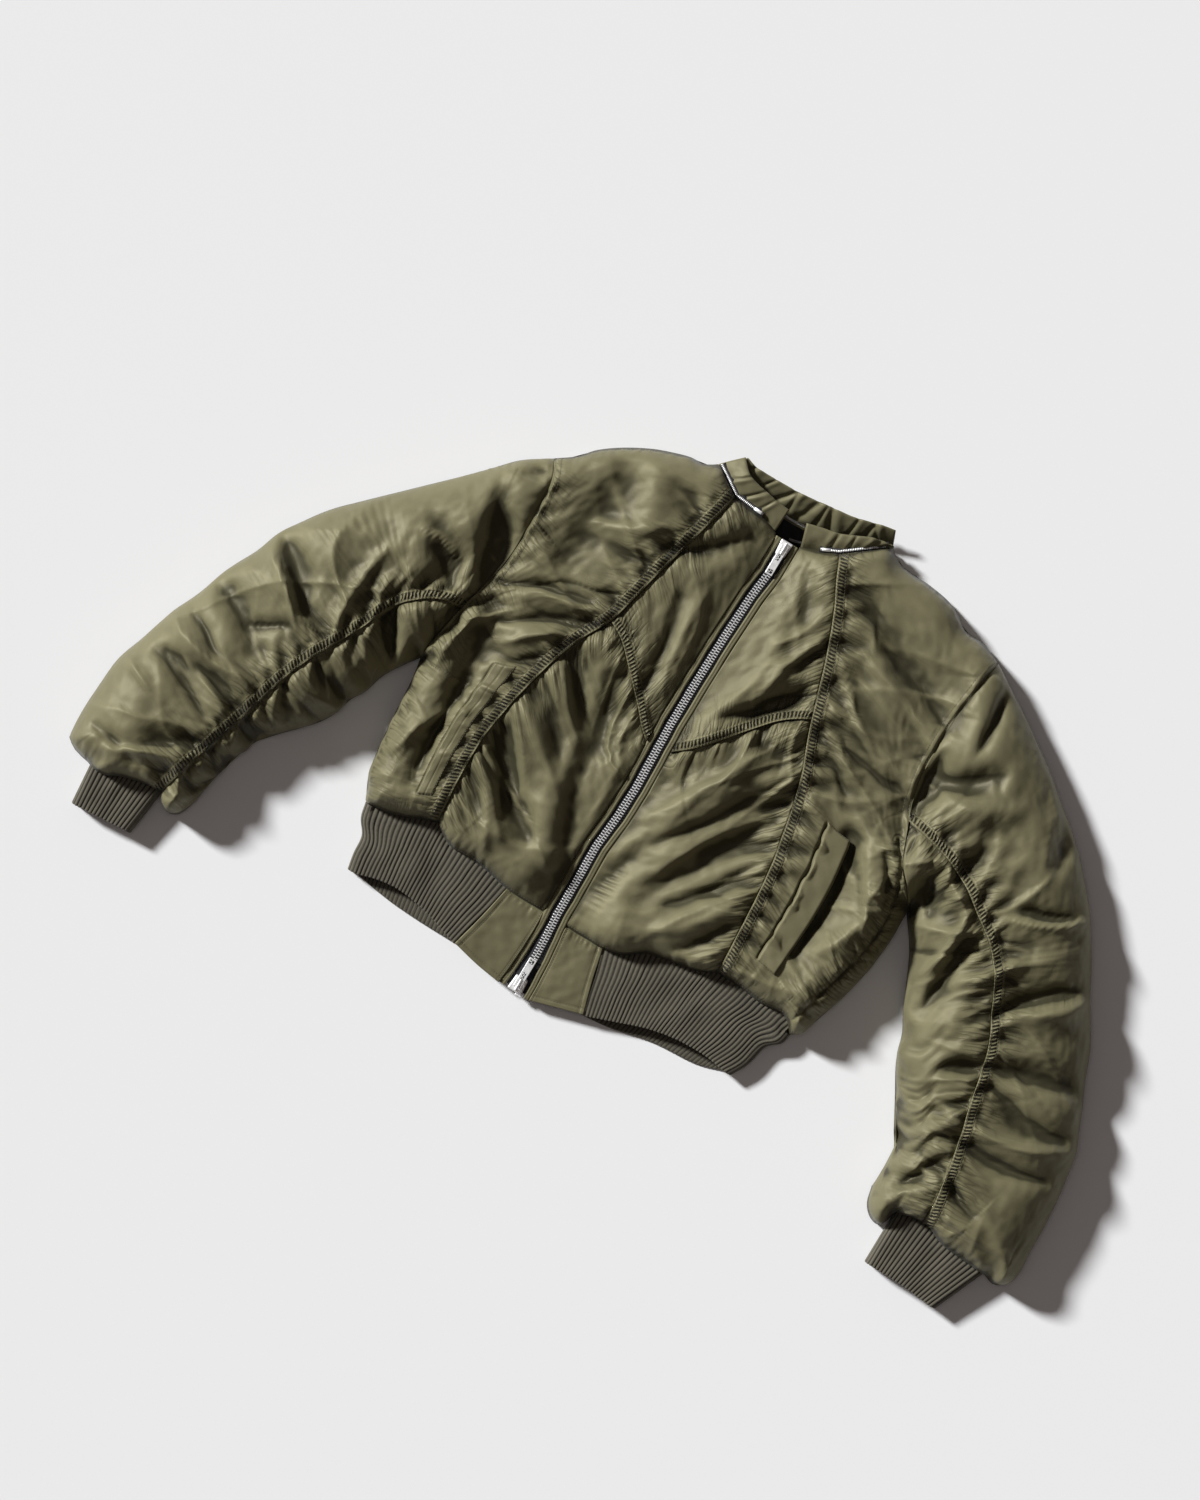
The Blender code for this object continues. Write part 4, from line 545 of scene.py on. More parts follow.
def panelSurface(build, acrossAt, alongAt, sizes, seed):
    # one flat-cut piece: its coarse surface with the folds of its gathers laid on, settled once more
    fine = coarseSurface(build, acrossAt, alongAt, sizes, seed)
    step = jacket["gridStep"]
    reach = borderGaps(fine)
    shape = fine.shape[:2]
    crowded = np.clip(np.gradient(reach[0], axis=1) / step, 0, 1) ** 2
    # at gathered borders, true distances to the seam and along it; those along follow the first four
    reach += [reach[2], reach[2], reach[0], reach[0]]
    for side in {entry[0] for entry in sizes["gathers"]}:
        order = borderOrder[side]
        border = (fine[:, 0], fine[:, -1], fine[0], fine[-1])[order][:, :2]
        border = border[np.unique(np.r_[0:len(border):4, len(border) - 1])]
        reach[order], reach[4 + order] = alongside(fine[..., :2], border)
    spareU = 0.003 * np.ones(shape)
    spareV = 0.003 * np.ones(shape)
    wave = np.full(shape, 20.0)
    lift = np.zeros(shape)
    held = np.ones(shape)
    for side, amount, run, band, slant in sizes["gathers"]:
        order = borderOrder[side]
        gap, along = reach[order], reach[4 + order]
        if band:
            held *= np.clip((gap - band + 4) / 5, 0.12, 1)
            gap = np.maximum(gap - band, 0)
        strength = amount / (0.34 if band else 0.24)
        for k, (spacing, rise, far, slim) in enumerate(gatherKinds, seed + 5 * order):
            lift += gatherFolds(gap, along, spacing, rise * strength, run * far, k, slim, slant)
        wave = np.minimum(wave, 11 + 9 * (1 - np.exp(-gap / (run * 1.1))))
        near = (0.0 if band else 0.2) * amount * np.exp(-gap / (run * 0.8))
        spareU, spareV = gathered(side, near, spareU, spareV)
    rim = np.min(reach[:4], axis=0)
    fine[..., 2] += (lift - blurred(lift, int(12 / step))) * np.clip(rim / 3, 0, 1) * held
    fine = settled(fine, spareU * crowded, np.maximum(spareV, 0), wave, step,
                   held * freeInside(shape), 50, seed + 3)
    fine = fine.astype(float)
    fine[1:-1, 1:-1] = mixed(fine, averaged(fine), 0.2)[1:-1, 1:-1]
    return sharpened(fine, step), reach


def blurred(values, radius):
    # three box means, each of 2 * radius + 1 cells, along both ways of a grid
    for turn in range(3):
        for axis in (0, 1):
            pad = [(0, 0)] * values.ndim
            pad[axis] = (radius + 1, radius)
            total = np.cumsum(np.pad(values, pad, mode="edge"), axis=axis)
            size = values.shape[axis]
            reach = 2 * radius + 1
            values = (np.take(total, np.arange(reach, reach + size), axis=axis)
                      - np.take(total, np.arange(size), axis=axis)) / reach
    return values


def hollows(height, step):
    # how far the cloth lies below its own surroundings: about 1 in the troughs, less than 0 on crests
    near = blurred(height, max(int(5 / step), 1)) - height
    wide = blurred(height, max(int(16 / step), 2)) - height
    return np.clip(near / 1.6, -0.35, 1) * 0.6 + np.clip(wide / 5.0, -0.35, 1) * 0.6


def sharpened(grid, step):
    # folds stand out more: the part of the height finer than 30 mm grows, but not at the borders
    smooth = blurred(grid[..., 2], max(int(11 / step), 2))
    fine = grid[..., 2] - smooth
    rows, columns = grid.shape[:2]
    rim = np.minimum.outer(np.minimum(np.arange(rows), np.arange(rows)[::-1]),
                           np.minimum(np.arange(columns), np.arange(columns)[::-1]))
    grid[..., 2] += jacket["foldGain"] * fine * np.clip(rim * step / 9, 0, 1)
    return grid


def gatherFolds(gap, along, spacing, rise, length, seed, slim, slant):
    # folds that fan out from a gathered seam: each is a narrow peak across its own line, whose lean, bend,
    # length and height are drawn at random; it widens as it leaves the seam and dies out
    rng = np.random.default_rng(seed)
    total = np.zeros(gap.shape)
    at = along.min() + spacing * rng.uniform(0.2, 0.8)
    while at < along.max():
        lean, bend = slant + rng.normal(0, 0.26), rng.normal(0, 0.004)
        reach = length * rng.lognormal(-0.25, 0.55)
        high = rise * rng.uniform(0.35, 1.25) * min(1.2, (reach / length) ** 0.35)
        steep = rng.uniform(0.75, 1.5)
        side = along - at - lean * gap - bend * gap**2
        width = slim + 0.085 * gap
        t = np.where(side > 0, steep, 1 / steep) * side / width
        near = np.abs(t) < 5
        peak = np.exp(-1.4 * (np.sqrt(t[near] ** 2 + 0.06) - 0.24))
        g = gap[near]
        total[near] += high * peak * bell(g, reach) * np.clip(g / (2 * slim), 0, 1)
        at += spacing * rng.uniform(0.5, 1.6)
    return total


def gridFaces(rows, columns, closed=False):
    # quads between neighbouring rows and columns; closed joins the last column to the first
    index = np.arange(rows * columns).reshape(rows, columns)
    if closed:
        index = np.hstack([index, index[:, :1]])
    return np.stack([index[:-1, :-1], index[:-1, 1:], index[1:, 1:], index[1:, :-1]], axis=2).reshape(-1, 4)


def meshPiece(name, points, faces, material, smooth=True, fields=None, flip=False):
    # one mesh object from whole arrays; points in mm; fields are per-point values kept as attributes
    faces = np.asarray(faces, np.int32)
    if flip:
        faces = faces[:, ::-1]
    mesh = bpy.data.meshes.new(name)
    points = np.array(points, np.float64).reshape(-1, 3) * mm
    # nothing reaches below the floor
    points[:, 2] = np.maximum(points[:, 2], 0)
    mesh.vertices.add(len(points))
    mesh.vertices.foreach_set("co", points.astype(np.float32).ravel())
    corners = faces.shape[1]
    mesh.loops.add(faces.size)
    mesh.loops.foreach_set("vertex_index", faces.ravel())
    mesh.polygons.add(len(faces))
    mesh.polygons.foreach_set("loop_start", np.arange(len(faces), dtype=np.int32) * corners)
    mesh.polygons.foreach_set("use_smooth", np.full(len(faces), smooth))
    mesh.update(calc_edges=True)
    for key, values in (fields or {}).items():
        values = np.asarray(values, np.float32)
        if key == "uv":
            layer = mesh.uv_layers.new(name="cloth")
            layer.data.foreach_set("uv", values.reshape(-1, 2)[faces.ravel()].ravel())
        elif values.ndim and values.shape[-1] == 3 and values.size == points.size:
            mesh.attributes.new(key, "FLOAT_VECTOR", "POINT").data.foreach_set("vector", values.ravel())
        else:
            mesh.attributes.new(key, "FLOAT", "POINT").data.foreach_set("value", values.ravel())
    mesh.validate()
    obj = bpy.data.objects.new(name, mesh)
    bpy.context.scene.collection.objects.link(obj)
    obj.data.materials.append(material)
    return obj


def tucked(grid, sides):
    # border turned under: two more rows past each named side, a little out and down into the seam
    index = [np.arange(count) for count in grid.shape[:2]]
    for side in sides:
        axis, last = int(side in ("left", "right")), side in ("end", "right")
        lines, here = np.moveaxis(grid, axis, 0), index[axis]
        rim, inner = (lines[-1], lines[-2]) if last else (lines[0], lines[1])
        out = rim - inner
        out[..., 2] = 0
        out /= np.maximum(np.linalg.norm(out[..., :2], axis=1), 1e-6)[:, None]
        rolled = np.stack([rim + out * 0.25 - (0, 0, 1.2), rim + out * 0.1 - (0, 0, jacket["seamTuck"])])
        lines = np.concatenate([lines, rolled] if last else [rolled[::-1], lines])
        grid = np.moveaxis(lines, 0, axis)
        index[axis] = np.r_[here, here[-1], here[-1]] if last else np.r_[0, 0, here]
    return grid, np.ix_(*index)


def ditched(grid, reach, sides, depth):
    # the cloth dips to its seams: depth times a steep bell of the distance to each named border
    for side in sides:
        gap = reach[borderOrder[side]]
        grid[..., 2] -= depth * bell(gap, 3.2)
    return grid


# Widths of the stitched bands along the gathered seams, and the rows of stitches at armhole and hem
bands = {"princess": 10, "yoke": 9, "sleeve": 9.5, "armholeRows": (1.8, 7.6), "hemRow": 2.6}


def stitchRows(width):
    # a band's two rows: one by the seam and one inside its outer edge
    return 1.9, width - 1.2


def bandRaised(grid, reach, side, width, rise=1.9):
    # seam allowance under two rows of stitches: a flat rise that ends past the outer row, with a groove
    # along each row
    gap = reach[borderOrder[side]]
    lift = rise * np.clip((width + 1.5 - gap) / 3.5, 0, 1)
    for row in stitchRows(width):
        lift = lift - 0.5 * bell(gap - row, 0.9)
    grid[..., 2] += lift
    return grid


surfaces = {}


def clothPiece(name, grid, material, nodes, flip=False, closed=False, **fields):
    # a cloth piece in place of its plain solids; its UV map is the way run over the cloth
    fields.setdefault("uv", np.dstack(gridLengths(grid)) * mm)
    faces = gridFaces(*grid.shape[:2], closed=closed)
    piece = meshPiece(name, grid, faces, material, fields=fields, flip=flip)
    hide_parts(*([nodes] if isinstance(nodes, str) else nodes))
    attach(piece, "jacket")


def turnedPiece(name, grid, gaps, nylon, node, flip):
    # a small piece with all four borders turned under, kept for its stitches
    surfaces[name] = (grid, gaps)
    whole, pick = tucked(grid.copy(), ("start", "end", "left", "right"))
    clothPiece(name, whole, nylon, node, flip=flip, uv=np.dstack([gaps[0], gaps[2]])[pick] * mm)


def shellPiece(name, grid, reach, sides, material, node, seams=(), faceDown=False):
    # the finished cloth piece: grid with turned borders, distances to its borders kept for the stitches
    outer, pick = tucked(grid.copy(), sides)
    # distance in from each of two gathered seams, way along it and its band's width
    fields = {"uv": np.dstack([reach[0], reach[2]])[pick] * mm}
    for key, (side, width, slant) in zip(("seam", "seamToo"), (*seams, (None, 0.0, 0.0), (None, 0.0, 0.0))):
        if isinstance(side, str):
            order = borderOrder[side]
            side = reach[order], reach[4 + order]
        gap, along = side or (900.0, 0.0)
        gap = gap + np.zeros(grid.shape[:2])
        along = along - slant * np.maximum(gap - width, 0)
        fields[key] = np.dstack([gap, along, np.full(grid.shape[:2], width)])[pick]
    # trough: how far the cloth lies below its surroundings, which the satin colour turns into painted shade
    # in the troughs and a painted highlight on the crests
    fields["trough"] = np.zeros(outer.shape[:2])
    if sides:
        fields["trough"] = hollows(grid[..., 2], jacket["gridStep"])[pick]
    normal = np.cross(grid[1:, :-1] - grid[:-1, :-1], grid[:-1, 1:] - grid[:-1, :-1])[..., 2].mean()
    clothPiece(name, outer, material, node, flip=(normal > 0) != faceDown, **fields)
    surfaces[name] = (grid, reach)


def even(t):
    return t


def fromFold(power):
    # shares that crowd towards the folded edge at 0
    return lambda t: t**power


def cutLine(line, low, high):
    # the part of a line between two heights, with both ends added
    y = line[:, 1]
    inside = line[(y > low + 0.3) & (y < high - 0.3)]
    ends = [np.column_stack([np.interp([v], y, line[:, 0]), [v]]) for v in (low, high)]
    return np.vstack([ends[0], inside, ends[1]])


def weltPlace(side, grid):
    # rows and columns of the side panel's grid that a welt covers, as fractions of a cell
    low, high = welts[side]["along"]
    shares = fromFold(1.35)(np.linspace(0, 1, grid.shape[1]))
    columns = [np.interp(v, shares, np.arange(grid.shape[1])) for v in welts[side]["across"]]
    middle = grid[:, int(sum(columns) / 2), 1]
    return np.interp((low, high), middle, np.arange(grid.shape[0])), columns


# Each panel's size in mm, spare cloth and its wave, and gathers: border, amount, run, band, slant
sidePanel = {
    "tall": 470, "spare": 0.012, "wave": 44,
    "gathers": [("right", 0.26, 20, 10, -0.35), ("left", 0.16, 15, 3, -0.3), ("start", 0.08, 12, 0, 0)],
    "left": {"wide": 185, "seed": 21, "shoulder": 0.79, "stitchedFrom": 60, "slit": 1.6},
    "right": {"wide": 190, "seed": 41, "shoulder": 0.765, "stitchedFrom": 90, "slit": 4.6},
}
lowerFront = {
    "wide": 145, "tall": 290, "spare": 0.013, "wave": 46, "seed": {"left": 61, "right": 71},
    "gathers": [("left", 0.24, 18, 0, -0.7), ("end", 0.20, 13, 0, 0.75), ("start", 0.08, 8, 0, 0)],
}
upperFront = {
    "wide": 100, "tall": 240, "spare": 0.011, "wave": 42, "seed": {"left": 81, "right": 91},
    "gathers": [("left", 0.10, 12, 0, -0.6), ("start", 0.08, 9, 9, -0.5), ("end", 0.03, 10, 0, 0)],
}


def pocketSlit(grid, side):
    # 1 along the pocket's mouth at the welt's front edge, falling off as a bell across it
    (rowLow, rowHigh), (columnLow, columnHigh) = weltPlace(side, grid)
    edge = columnHigh if side == "right" else columnLow
    columns, rows = np.arange(grid.shape[1]), np.arange(grid.shape[0])[:, None]
    width = np.cumsum(np.linalg.norm(np.diff(grid, axis=1), axis=2).mean(axis=0))
    across, start = (np.interp(at, columns[1:], width) for at in (columns, edge))
    inside = np.clip(np.minimum(rows - rowLow, rowHigh - rows) / 3, 0, 1)
    return bell(across - start, 1.3) * inside


def sideFront(side, nylon):
    # chest, shoulder and side in one panel, outside the long gathered seam
    c, own = sideLines(side), sidePanel[side]
    border = joined(c["Side"], c["ArmholeLow"], c["Armhole"])
    top = [(c["Shoulder"][::-1], own["shoulder"]), (c["NeckSide"], 1.0)]
    build = lambda u, v: coonsGrid(c["HemSide"], top, border, c["Princess"], u, v)
    grid, reach = panelSurface(build, fromFold(1.35), even, sidePanel | own, own["seed"])
    # stitched allowance along the armhole
    armhole = np.clip((grid[..., 1] - own["stitchedFrom"]) / 20, 0, 1)
    gap = reach[0]
    flat = np.clip((9.5 - gap) / 2.0, 0, 1) * armhole
    groove = sum(bell(gap - row, 0.9) for row in bands["armholeRows"])
    grid[..., 2] += flat * 0.7 * np.clip(gap / 1.2, 0, 1) - 0.5 * groove * armhole
    grid[..., 2] -= 3.0 * bell(gap, 2.4) * armhole
    grid = bandRaised(grid, reach, "right", bands["princess"])
    grid = ditched(grid, reach, ("start",), jacket["seamDitch"])
    second = ("left", 2.0, -0.3)
    if side == "right":
        # the side seam shows on top here: folds run out from it
        y = np.linspace(-142, 66, 30)
        bend = np.polyval(np.polyfit(sideSeamLine[:, 1], sideSeamLine[:, 0], 3), y)
        gap, along = alongside(grid[..., :2], np.column_stack([bend, y]))
        lift = gatherFolds(gap, along, 8, -2.6, 16, 201, 1.8, 0.2)
        lift = lift + gatherFolds(gap, along, 15, 4.6, 34, 202, 3.2, 0.3)
        grid[..., 2] += (lift - blurred(lift, 8)) * np.clip(reach[0] / 9, 0, 1) - 3.2 * bell(gap, 2.4)
        second = ((gap, along), 0.0, 0.2)
    grid[..., 2] -= own["slit"] * pocketSlit(grid, side)
    shellPiece(f"sidePanel{side.title()}", grid, reach, ("start", "right", "left"), nylon,
               f"side_panel_{side}", (("right", 10.0, -0.35), second))


def middleFronts(side, nylon):
    # the fronts beside the zip, below and above the V-shaped seam
    c = sideLines(side)
    offset = (-1 if side == "left" else 1) * frontZip["seamOut"]
    yoke, hem, neck = c["Yoke"].copy(), c["HemFront"].copy(), c["NeckFront"].copy()
    for line in (yoke, hem, neck):
        line[-1, 0] = zipX(line[-1, 1]) + offset
    meet = yoke[0, 1]
    lowPrincess = cutLine(c["Princess"], c["Princess"][0, 1], meet)
    highPrincess = cutLine(c["Princess"], meet, c["Princess"][-1, 1])
    lowZip = besideZip(offset, hem[-1, 1], yoke[-1, 1])
    highZip = besideZip(offset, yoke[-1, 1], neck[-1, 1])
    borders = ("start", "end", "left", "right")
    build = lambda u, v: coonsGrid(hem, yoke, lowPrincess, lowZip, u, v)
    grid, reach = panelSurface(build, even, even, lowerFront, lowerFront["seed"][side])
    grid = ditched(grid, reach, ("left", "end", "start"), jacket["seamDitch"])
    shellPiece(f"lowerFront{side.title()}", grid, reach, borders, nylon, f"lower_front_{side}",
               (("left", 0.0, -0.7), ("end", 0.0, 0.75)))
    build = lambda u, v: coonsGrid(yoke, neck, highPrincess, highZip, u, v)
    grid, reach = panelSurface(build, even, even, upperFront, upperFront["seed"][side])
    grid = bandRaised(grid, reach, "start", bands["yoke"])
    grid = ditched(grid, reach, ("left", "end"), jacket["seamDitch"])
    shellPiece(f"upperFront{side.title()}", grid, reach, borders, nylon, f"upper_front_{side}",
               (("start", 9.0, -0.5), ("left", 0.0, -0.6)))


def frontPanels(nylon):
    for side in ("left", "right"):
        sideFront(side, nylon)
        middleFronts(side, nylon)


def splitLine(line, point):
    cut = np.linalg.norm(line - np.asarray(point, float), axis=1).argmin()
    first, second = line[:cut + 1].copy(), line[cut:].copy()
    first[-1] = second[0] = point
    return first, second


sleeves = {
    "top": {"left": {"wide": 150, "tall": 560, "seed": 101},
            "right": {"wide": 160, "tall": 590, "seed": 111},
            "spare": 0.022, "wave": 44, "band": bands["sleeve"], "slant": 0.2, "dips": ("end", "start"),
            "gathers": [("right", 0.26, 22, 9.5, 0.2), ("end", 0.10, 10, 0, 0), ("start", 0.07, 12, 0, 0)]},
    "under": {"left": {"wide": 85, "tall": 330, "seed": 131},
              "right": {"wide": 105, "tall": 420, "seed": 141},
              "spare": 0.03, "wave": 44, "band": 0.0, "slant": 0.1, "dips": ("right", "end", "start"),
              "gathers": [("right", 0.26, 26, 0, 0.1), ("end", 0.10, 10, 0, 0)]},
}


def sleevePanels(nylon):
    # two pieces to a sleeve; each wraps from the seam on top, round the folded edge, to a seam beneath
    for side in ("left", "right"):
        c = sideLines(side)
        seam, underSeam, mouth = c["SleeveSeam"], c["UnderSeam"], c["Mouth"]
        armhole, armpit = c["Armhole"][::-1], c["ArmholeLow"]
        mouthTop, mouthRest = splitLine(mouth, seam[-1])
        underTop = np.array([mouth[0], underSeam[-1]])
        underRest = np.array([underSeam[-1], mouth[-1]])
        upperHole, lowHole = splitLine(armhole, underSeam[0])
        lowHole = joined(lowHole, armpit[::-1])[::-1]
        rest = mouthRest[::-1]

        def plan(hole, endPiece, endRest, share, fold, line):
            # rows from the armhole or armpit down to the cuff, columns from the folded edge to a seam
            end = [(endPiece, share), (endRest, 1.0)] if lineLength(endRest) > 1 else [(endPiece, 1.0)]
            return lambda u, v: coonsGrid(hole, end, fold, line, u, v)

        outer, inner, endOuter, endInner = c["Outer"], c["Inner"], c["EndOuter"], c["EndInner"][::-1]
        work = {
            "top": (plan(armhole, endOuter, mouthTop, 0.28, outer, seam),
                    plan(upperHole, endOuter, underTop, 0.15, outer, underSeam)),
            "under": (plan(armpit, endInner, rest, 0.5, inner, seam),
                      plan(lowHole, endInner, underRest[::-1], 0.15, inner, underSeam)),
        }
        for kind, (upper, lower) in work.items():
            cut = sleeves[kind] | sleeves[kind][side]
            grid, reach = panelSurface(upper, fromFold(1.35), even, cut, cut["seed"])
            if cut["band"]:
                grid = bandRaised(grid, reach, "right", cut["band"])
            grid = ditched(grid, reach, cut["dips"], jacket["seamDitch"])
            shares = np.array([0, 0.012, 0.03, 0.06, 0.1, 0.16, 0.3, 0.5, 0.75, 1])
            below = lower(shares, np.linspace(0, 1, grid.shape[0]))
            below = np.dstack([below, underHeight(below) + 0.3])
            below[:, 0] = grid[:, 0]
            whole = np.concatenate([below[:, :0:-1], grid], axis=1)
            extra = len(shares) - 1
            wider = [np.pad(r, ((0, 0), (extra, 0)), mode="edge") for r in reach]
            wider[0] = gridLengths(whole)[0]
            name = f"{kind}Sleeve{side.title()}"
            shellPiece(name, whole, wider, ("start", "end", "right"), nylon, f"{kind}_sleeve_{side}",
                       (("right", cut["band"], cut["slant"]),))
            surfaces[name] = (grid, reach)


def backPanel(nylon):
    # one sheet on the floor, rolling up at the sides to meet the side panels
    c = curves
    left = joined(c["leftSide"], c["leftArmholeLow"], c["leftArmhole"])
    right = joined(c["rightSide"], c["rightArmholeLow"], c["rightArmhole"])
    top = [(c["leftShoulder"][::-1], 0.3), (c["backNeck"], 0.7), (c["rightShoulder"], 1.0)]
    roll = np.array([0, 0.004, 0.009, 0.015, 0.022, 0.032])
    across = np.r_[roll, np.linspace(0.06, 0.94, 45), 1 - roll[::-1]]
    along = np.r_[np.linspace(0, 0.95, 60), 0.96, 0.97, 0.98, 0.988, 0.994, 1]
    plan = coonsGrid(c["backHem"], top, left, right, across, along)
    grid = np.dstack([plan, underHeight(plan) + 0.2])
    shellPiece("backPanel", grid, borderGaps(grid), (), nylon,
               ("back_panel", "back_edge_left", "back_edge_right", "back_edge_top"), faceDown=True)


def copiesAlong(shape, shapeFaces, centres, along, up):
    # one small shape set many times: its x runs along, its z up, its y across
    along = unit(along)
    across = unit(np.cross(up, along))
    up = np.cross(along, across)
    points = (centres[:, None] + shape[None, :, :1] * along[:, None] + shape[None, :, 1:2] * across[:, None]
              + shape[None, :, 2:] * up[:, None])
    faces = shapeFaces[None] + (np.arange(len(centres)) * len(shape))[:, None, None]
    return points.reshape(-1, 3), faces.reshape(-1, shapeFaces.shape[1])


def capsule(length, width, height, around=6):
    # closed bead: rings of an ellipse whose size follows a rounded profile along x, drawn to points
    x = np.array([-0.5, -0.3, 0.3, 0.5])
    size = np.array([0.15, 1, 1, 0.15])
    turn = np.linspace(0, 2 * math.pi, around, endpoint=False)
    size = size[:, None]
    ring = np.dstack([np.cos(turn) * size * width / 2, np.sin(turn) * size * height / 2])
    points = np.dstack([np.repeat(x[:, None] * length, around, axis=1), ring]).reshape(-1, 3)
    return points, gridFaces(len(x), around, closed=True)


def roundedBox(length, width, height, edge):
    # box whose corner rings are drawn in by the edge: four rings of an eight-sided section
    def ring(inset):
        a, b = width / 2 - inset, length / 2 - inset
        c, d = a - edge * 0.8, b - edge * 0.8
        return [(-d, -a), (d, -a), (b, -c), (b, c), (d, a), (-d, a), (-b, c), (-b, -c)]
    levels = ((edge, -height / 2), (0, -height / 2 + edge), (0, height / 2 - edge), (edge, height / 2))
    points = np.array([(x, y, z) for inset, z in levels for x, y in ring(inset)])
    sides = gridFaces(4, 8, closed=True)
    caps = np.array([
        (24, 25, 26, 27), (24, 27, 28, 31), (28, 29, 30, 31), (3, 2, 1, 0), (7, 4, 3, 0), (7, 6, 5, 4)])
    return points, np.vstack([sides, caps])


def lineAt(grid, gap, distance):
    # the line on a grid that runs at a distance from one border; gap grows from the first column on
    after = np.clip((gap < distance).sum(axis=1), 1, gap.shape[1] - 1)
    rows = np.arange(len(grid))
    g0, g1 = gap[rows, after - 1], gap[rows, after]
    t = np.clip((distance - g0) / np.maximum(g1 - g0, 1e-6), 0, 1)[:, None]
    line = mixed(grid[rows, after - 1], grid[rows, after], t)
    nearby = np.cross(np.gradient(line, axis=0), grid[rows, after] - grid[rows, after - 1])
    nearby *= np.sign(nearby[:, 2:]) / np.linalg.norm(nearby, axis=1)[:, None]
    return line, nearby


def borderLine(name, side, distance):
    grid, reach = surfaces[name]
    gap = reach[borderOrder[side]]
    if side in ("start", "end"):
        grid, gap = grid.transpose(1, 0, 2), gap.T
    if side in ("right", "end"):
        grid, gap = grid[:, ::-1], gap[:, ::-1]
    return lineAt(grid, gap, distance)


def evenly(line, up, pitch):
    # points at an even pitch along a line in space, with its direction and its up there
    run = np.r_[0, np.cumsum(np.linalg.norm(np.diff(line, axis=0), axis=1))]
    at = np.arange(pitch / 2, run[-1], pitch)
    centres = np.column_stack([np.interp(at, run, line[:, k]) for k in range(3)])
    ahead = np.column_stack([np.interp(at + 0.6, run, line[:, k]) for k in range(3)])
    behind = np.column_stack([np.interp(at - 0.6, run, line[:, k]) for k in range(3)])
    ups = np.column_stack([np.interp(at, run, up[:, k]) for k in range(3)])
    return centres, ahead - behind + 1e-6, ups


stitchRuns = []


def stitched(line, up, lift=0.15):
    stitchRuns.append((line + up * lift, up))


stitchSizes = {"pitch": 3.1, "length": 2.5, "width": 0.62, "height": 0.5}


def sewAll(thread):
    # every run of stitches as one mesh of small beads
    shape, faces = capsule(stitchSizes["length"], stitchSizes["width"], stitchSizes["height"], 5)
    allPoints, allFaces, count = [], [], 0
    for line, up in stitchRuns:
        centres, along, ups = evenly(line, up, stitchSizes["pitch"])
        if not len(centres):
            continue
        points, quads = copiesAlong(shape, faces, centres, along, ups)
        allPoints.append(points)
        allFaces.append(quads + count)
        count += len(points)
    piece = meshPiece("stitches", np.vstack(allPoints), np.vstack(allFaces), thread)
    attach(piece, "jacket")


def sewPanels():
    # two rows along each gathered seam, one along the hem and two along each armhole
    for name, border, band in (("sidePanel", "right", "princess"), ("upperFront", "start", "yoke"),
                               ("topSleeve", "right", "sleeve")):
        for side in ("Left", "Right"):
            for distance in stitchRows(bands[band]):
                stitched(*borderLine(name + side, border, distance))
    for side in ("Left", "Right"):
        for name in ("sidePanel", "lowerFront"):
            stitched(*borderLine(name + side, "start", bands["hemRow"]))
    for side in ("left", "right"):
        for distance in bands["armholeRows"]:
            line, up = borderLine(f"sidePanel{side.title()}", "left", distance)
            keep = line[:, 1] > sidePanel[side]["stitchedFrom"] + 2
            stitched(line[keep], up[keep])


frontZip = {
    "pitch": 2.95, "toothWidth": 4.3, "toothLength": 1.4, "toothHeight": 2.3, "overlap": 0.45,
    "low": -247.0, "high": 250.0, "tapeEnds": (-264, 266), "seamOut": 13.5, "seed": 5,
    # sections: out from the zip's middle, height over it; the placket runs from its turned-in edge over
    # the fold to the seam, which lies at placketOut
    "placket": ((9.5, -2.4), (7.6, -2.3), (7.0, -1.5), (7.05, -0.4), (7.6, 0.35), (8.6, 0.6), (9.5, 0.45),
                (10.0, 0.15), (10.5, 0.45), (11.6, 0.5), (12.6, 0.1)),
    "placketOut": {"left": 13.6, "right": 13.0},
    "tape": ((0.4, -1.2), (3.0, -1.1), (4.2, -0.9), (5.0, -1.3), (8.0, -1.9), (12.0, -2.7)),
}


def spreadAt(y):
    # the zip's tape flares towards the hem
    return np.clip((-190 - y) / 75, 0, 1) * 4.5


def zipFrames(y):
    centre = np.column_stack([zipX(y), y, zipZ(y)])
    along = np.gradient(centre, axis=0)
    across = unit(np.column_stack([along[:, 1], -along[:, 0], 0 * y]))
    return centre, across, unit(np.cross(across, along))


def thirds(name):
    return [f"{name}_{part}" for part in ("low", "mid", "high")]


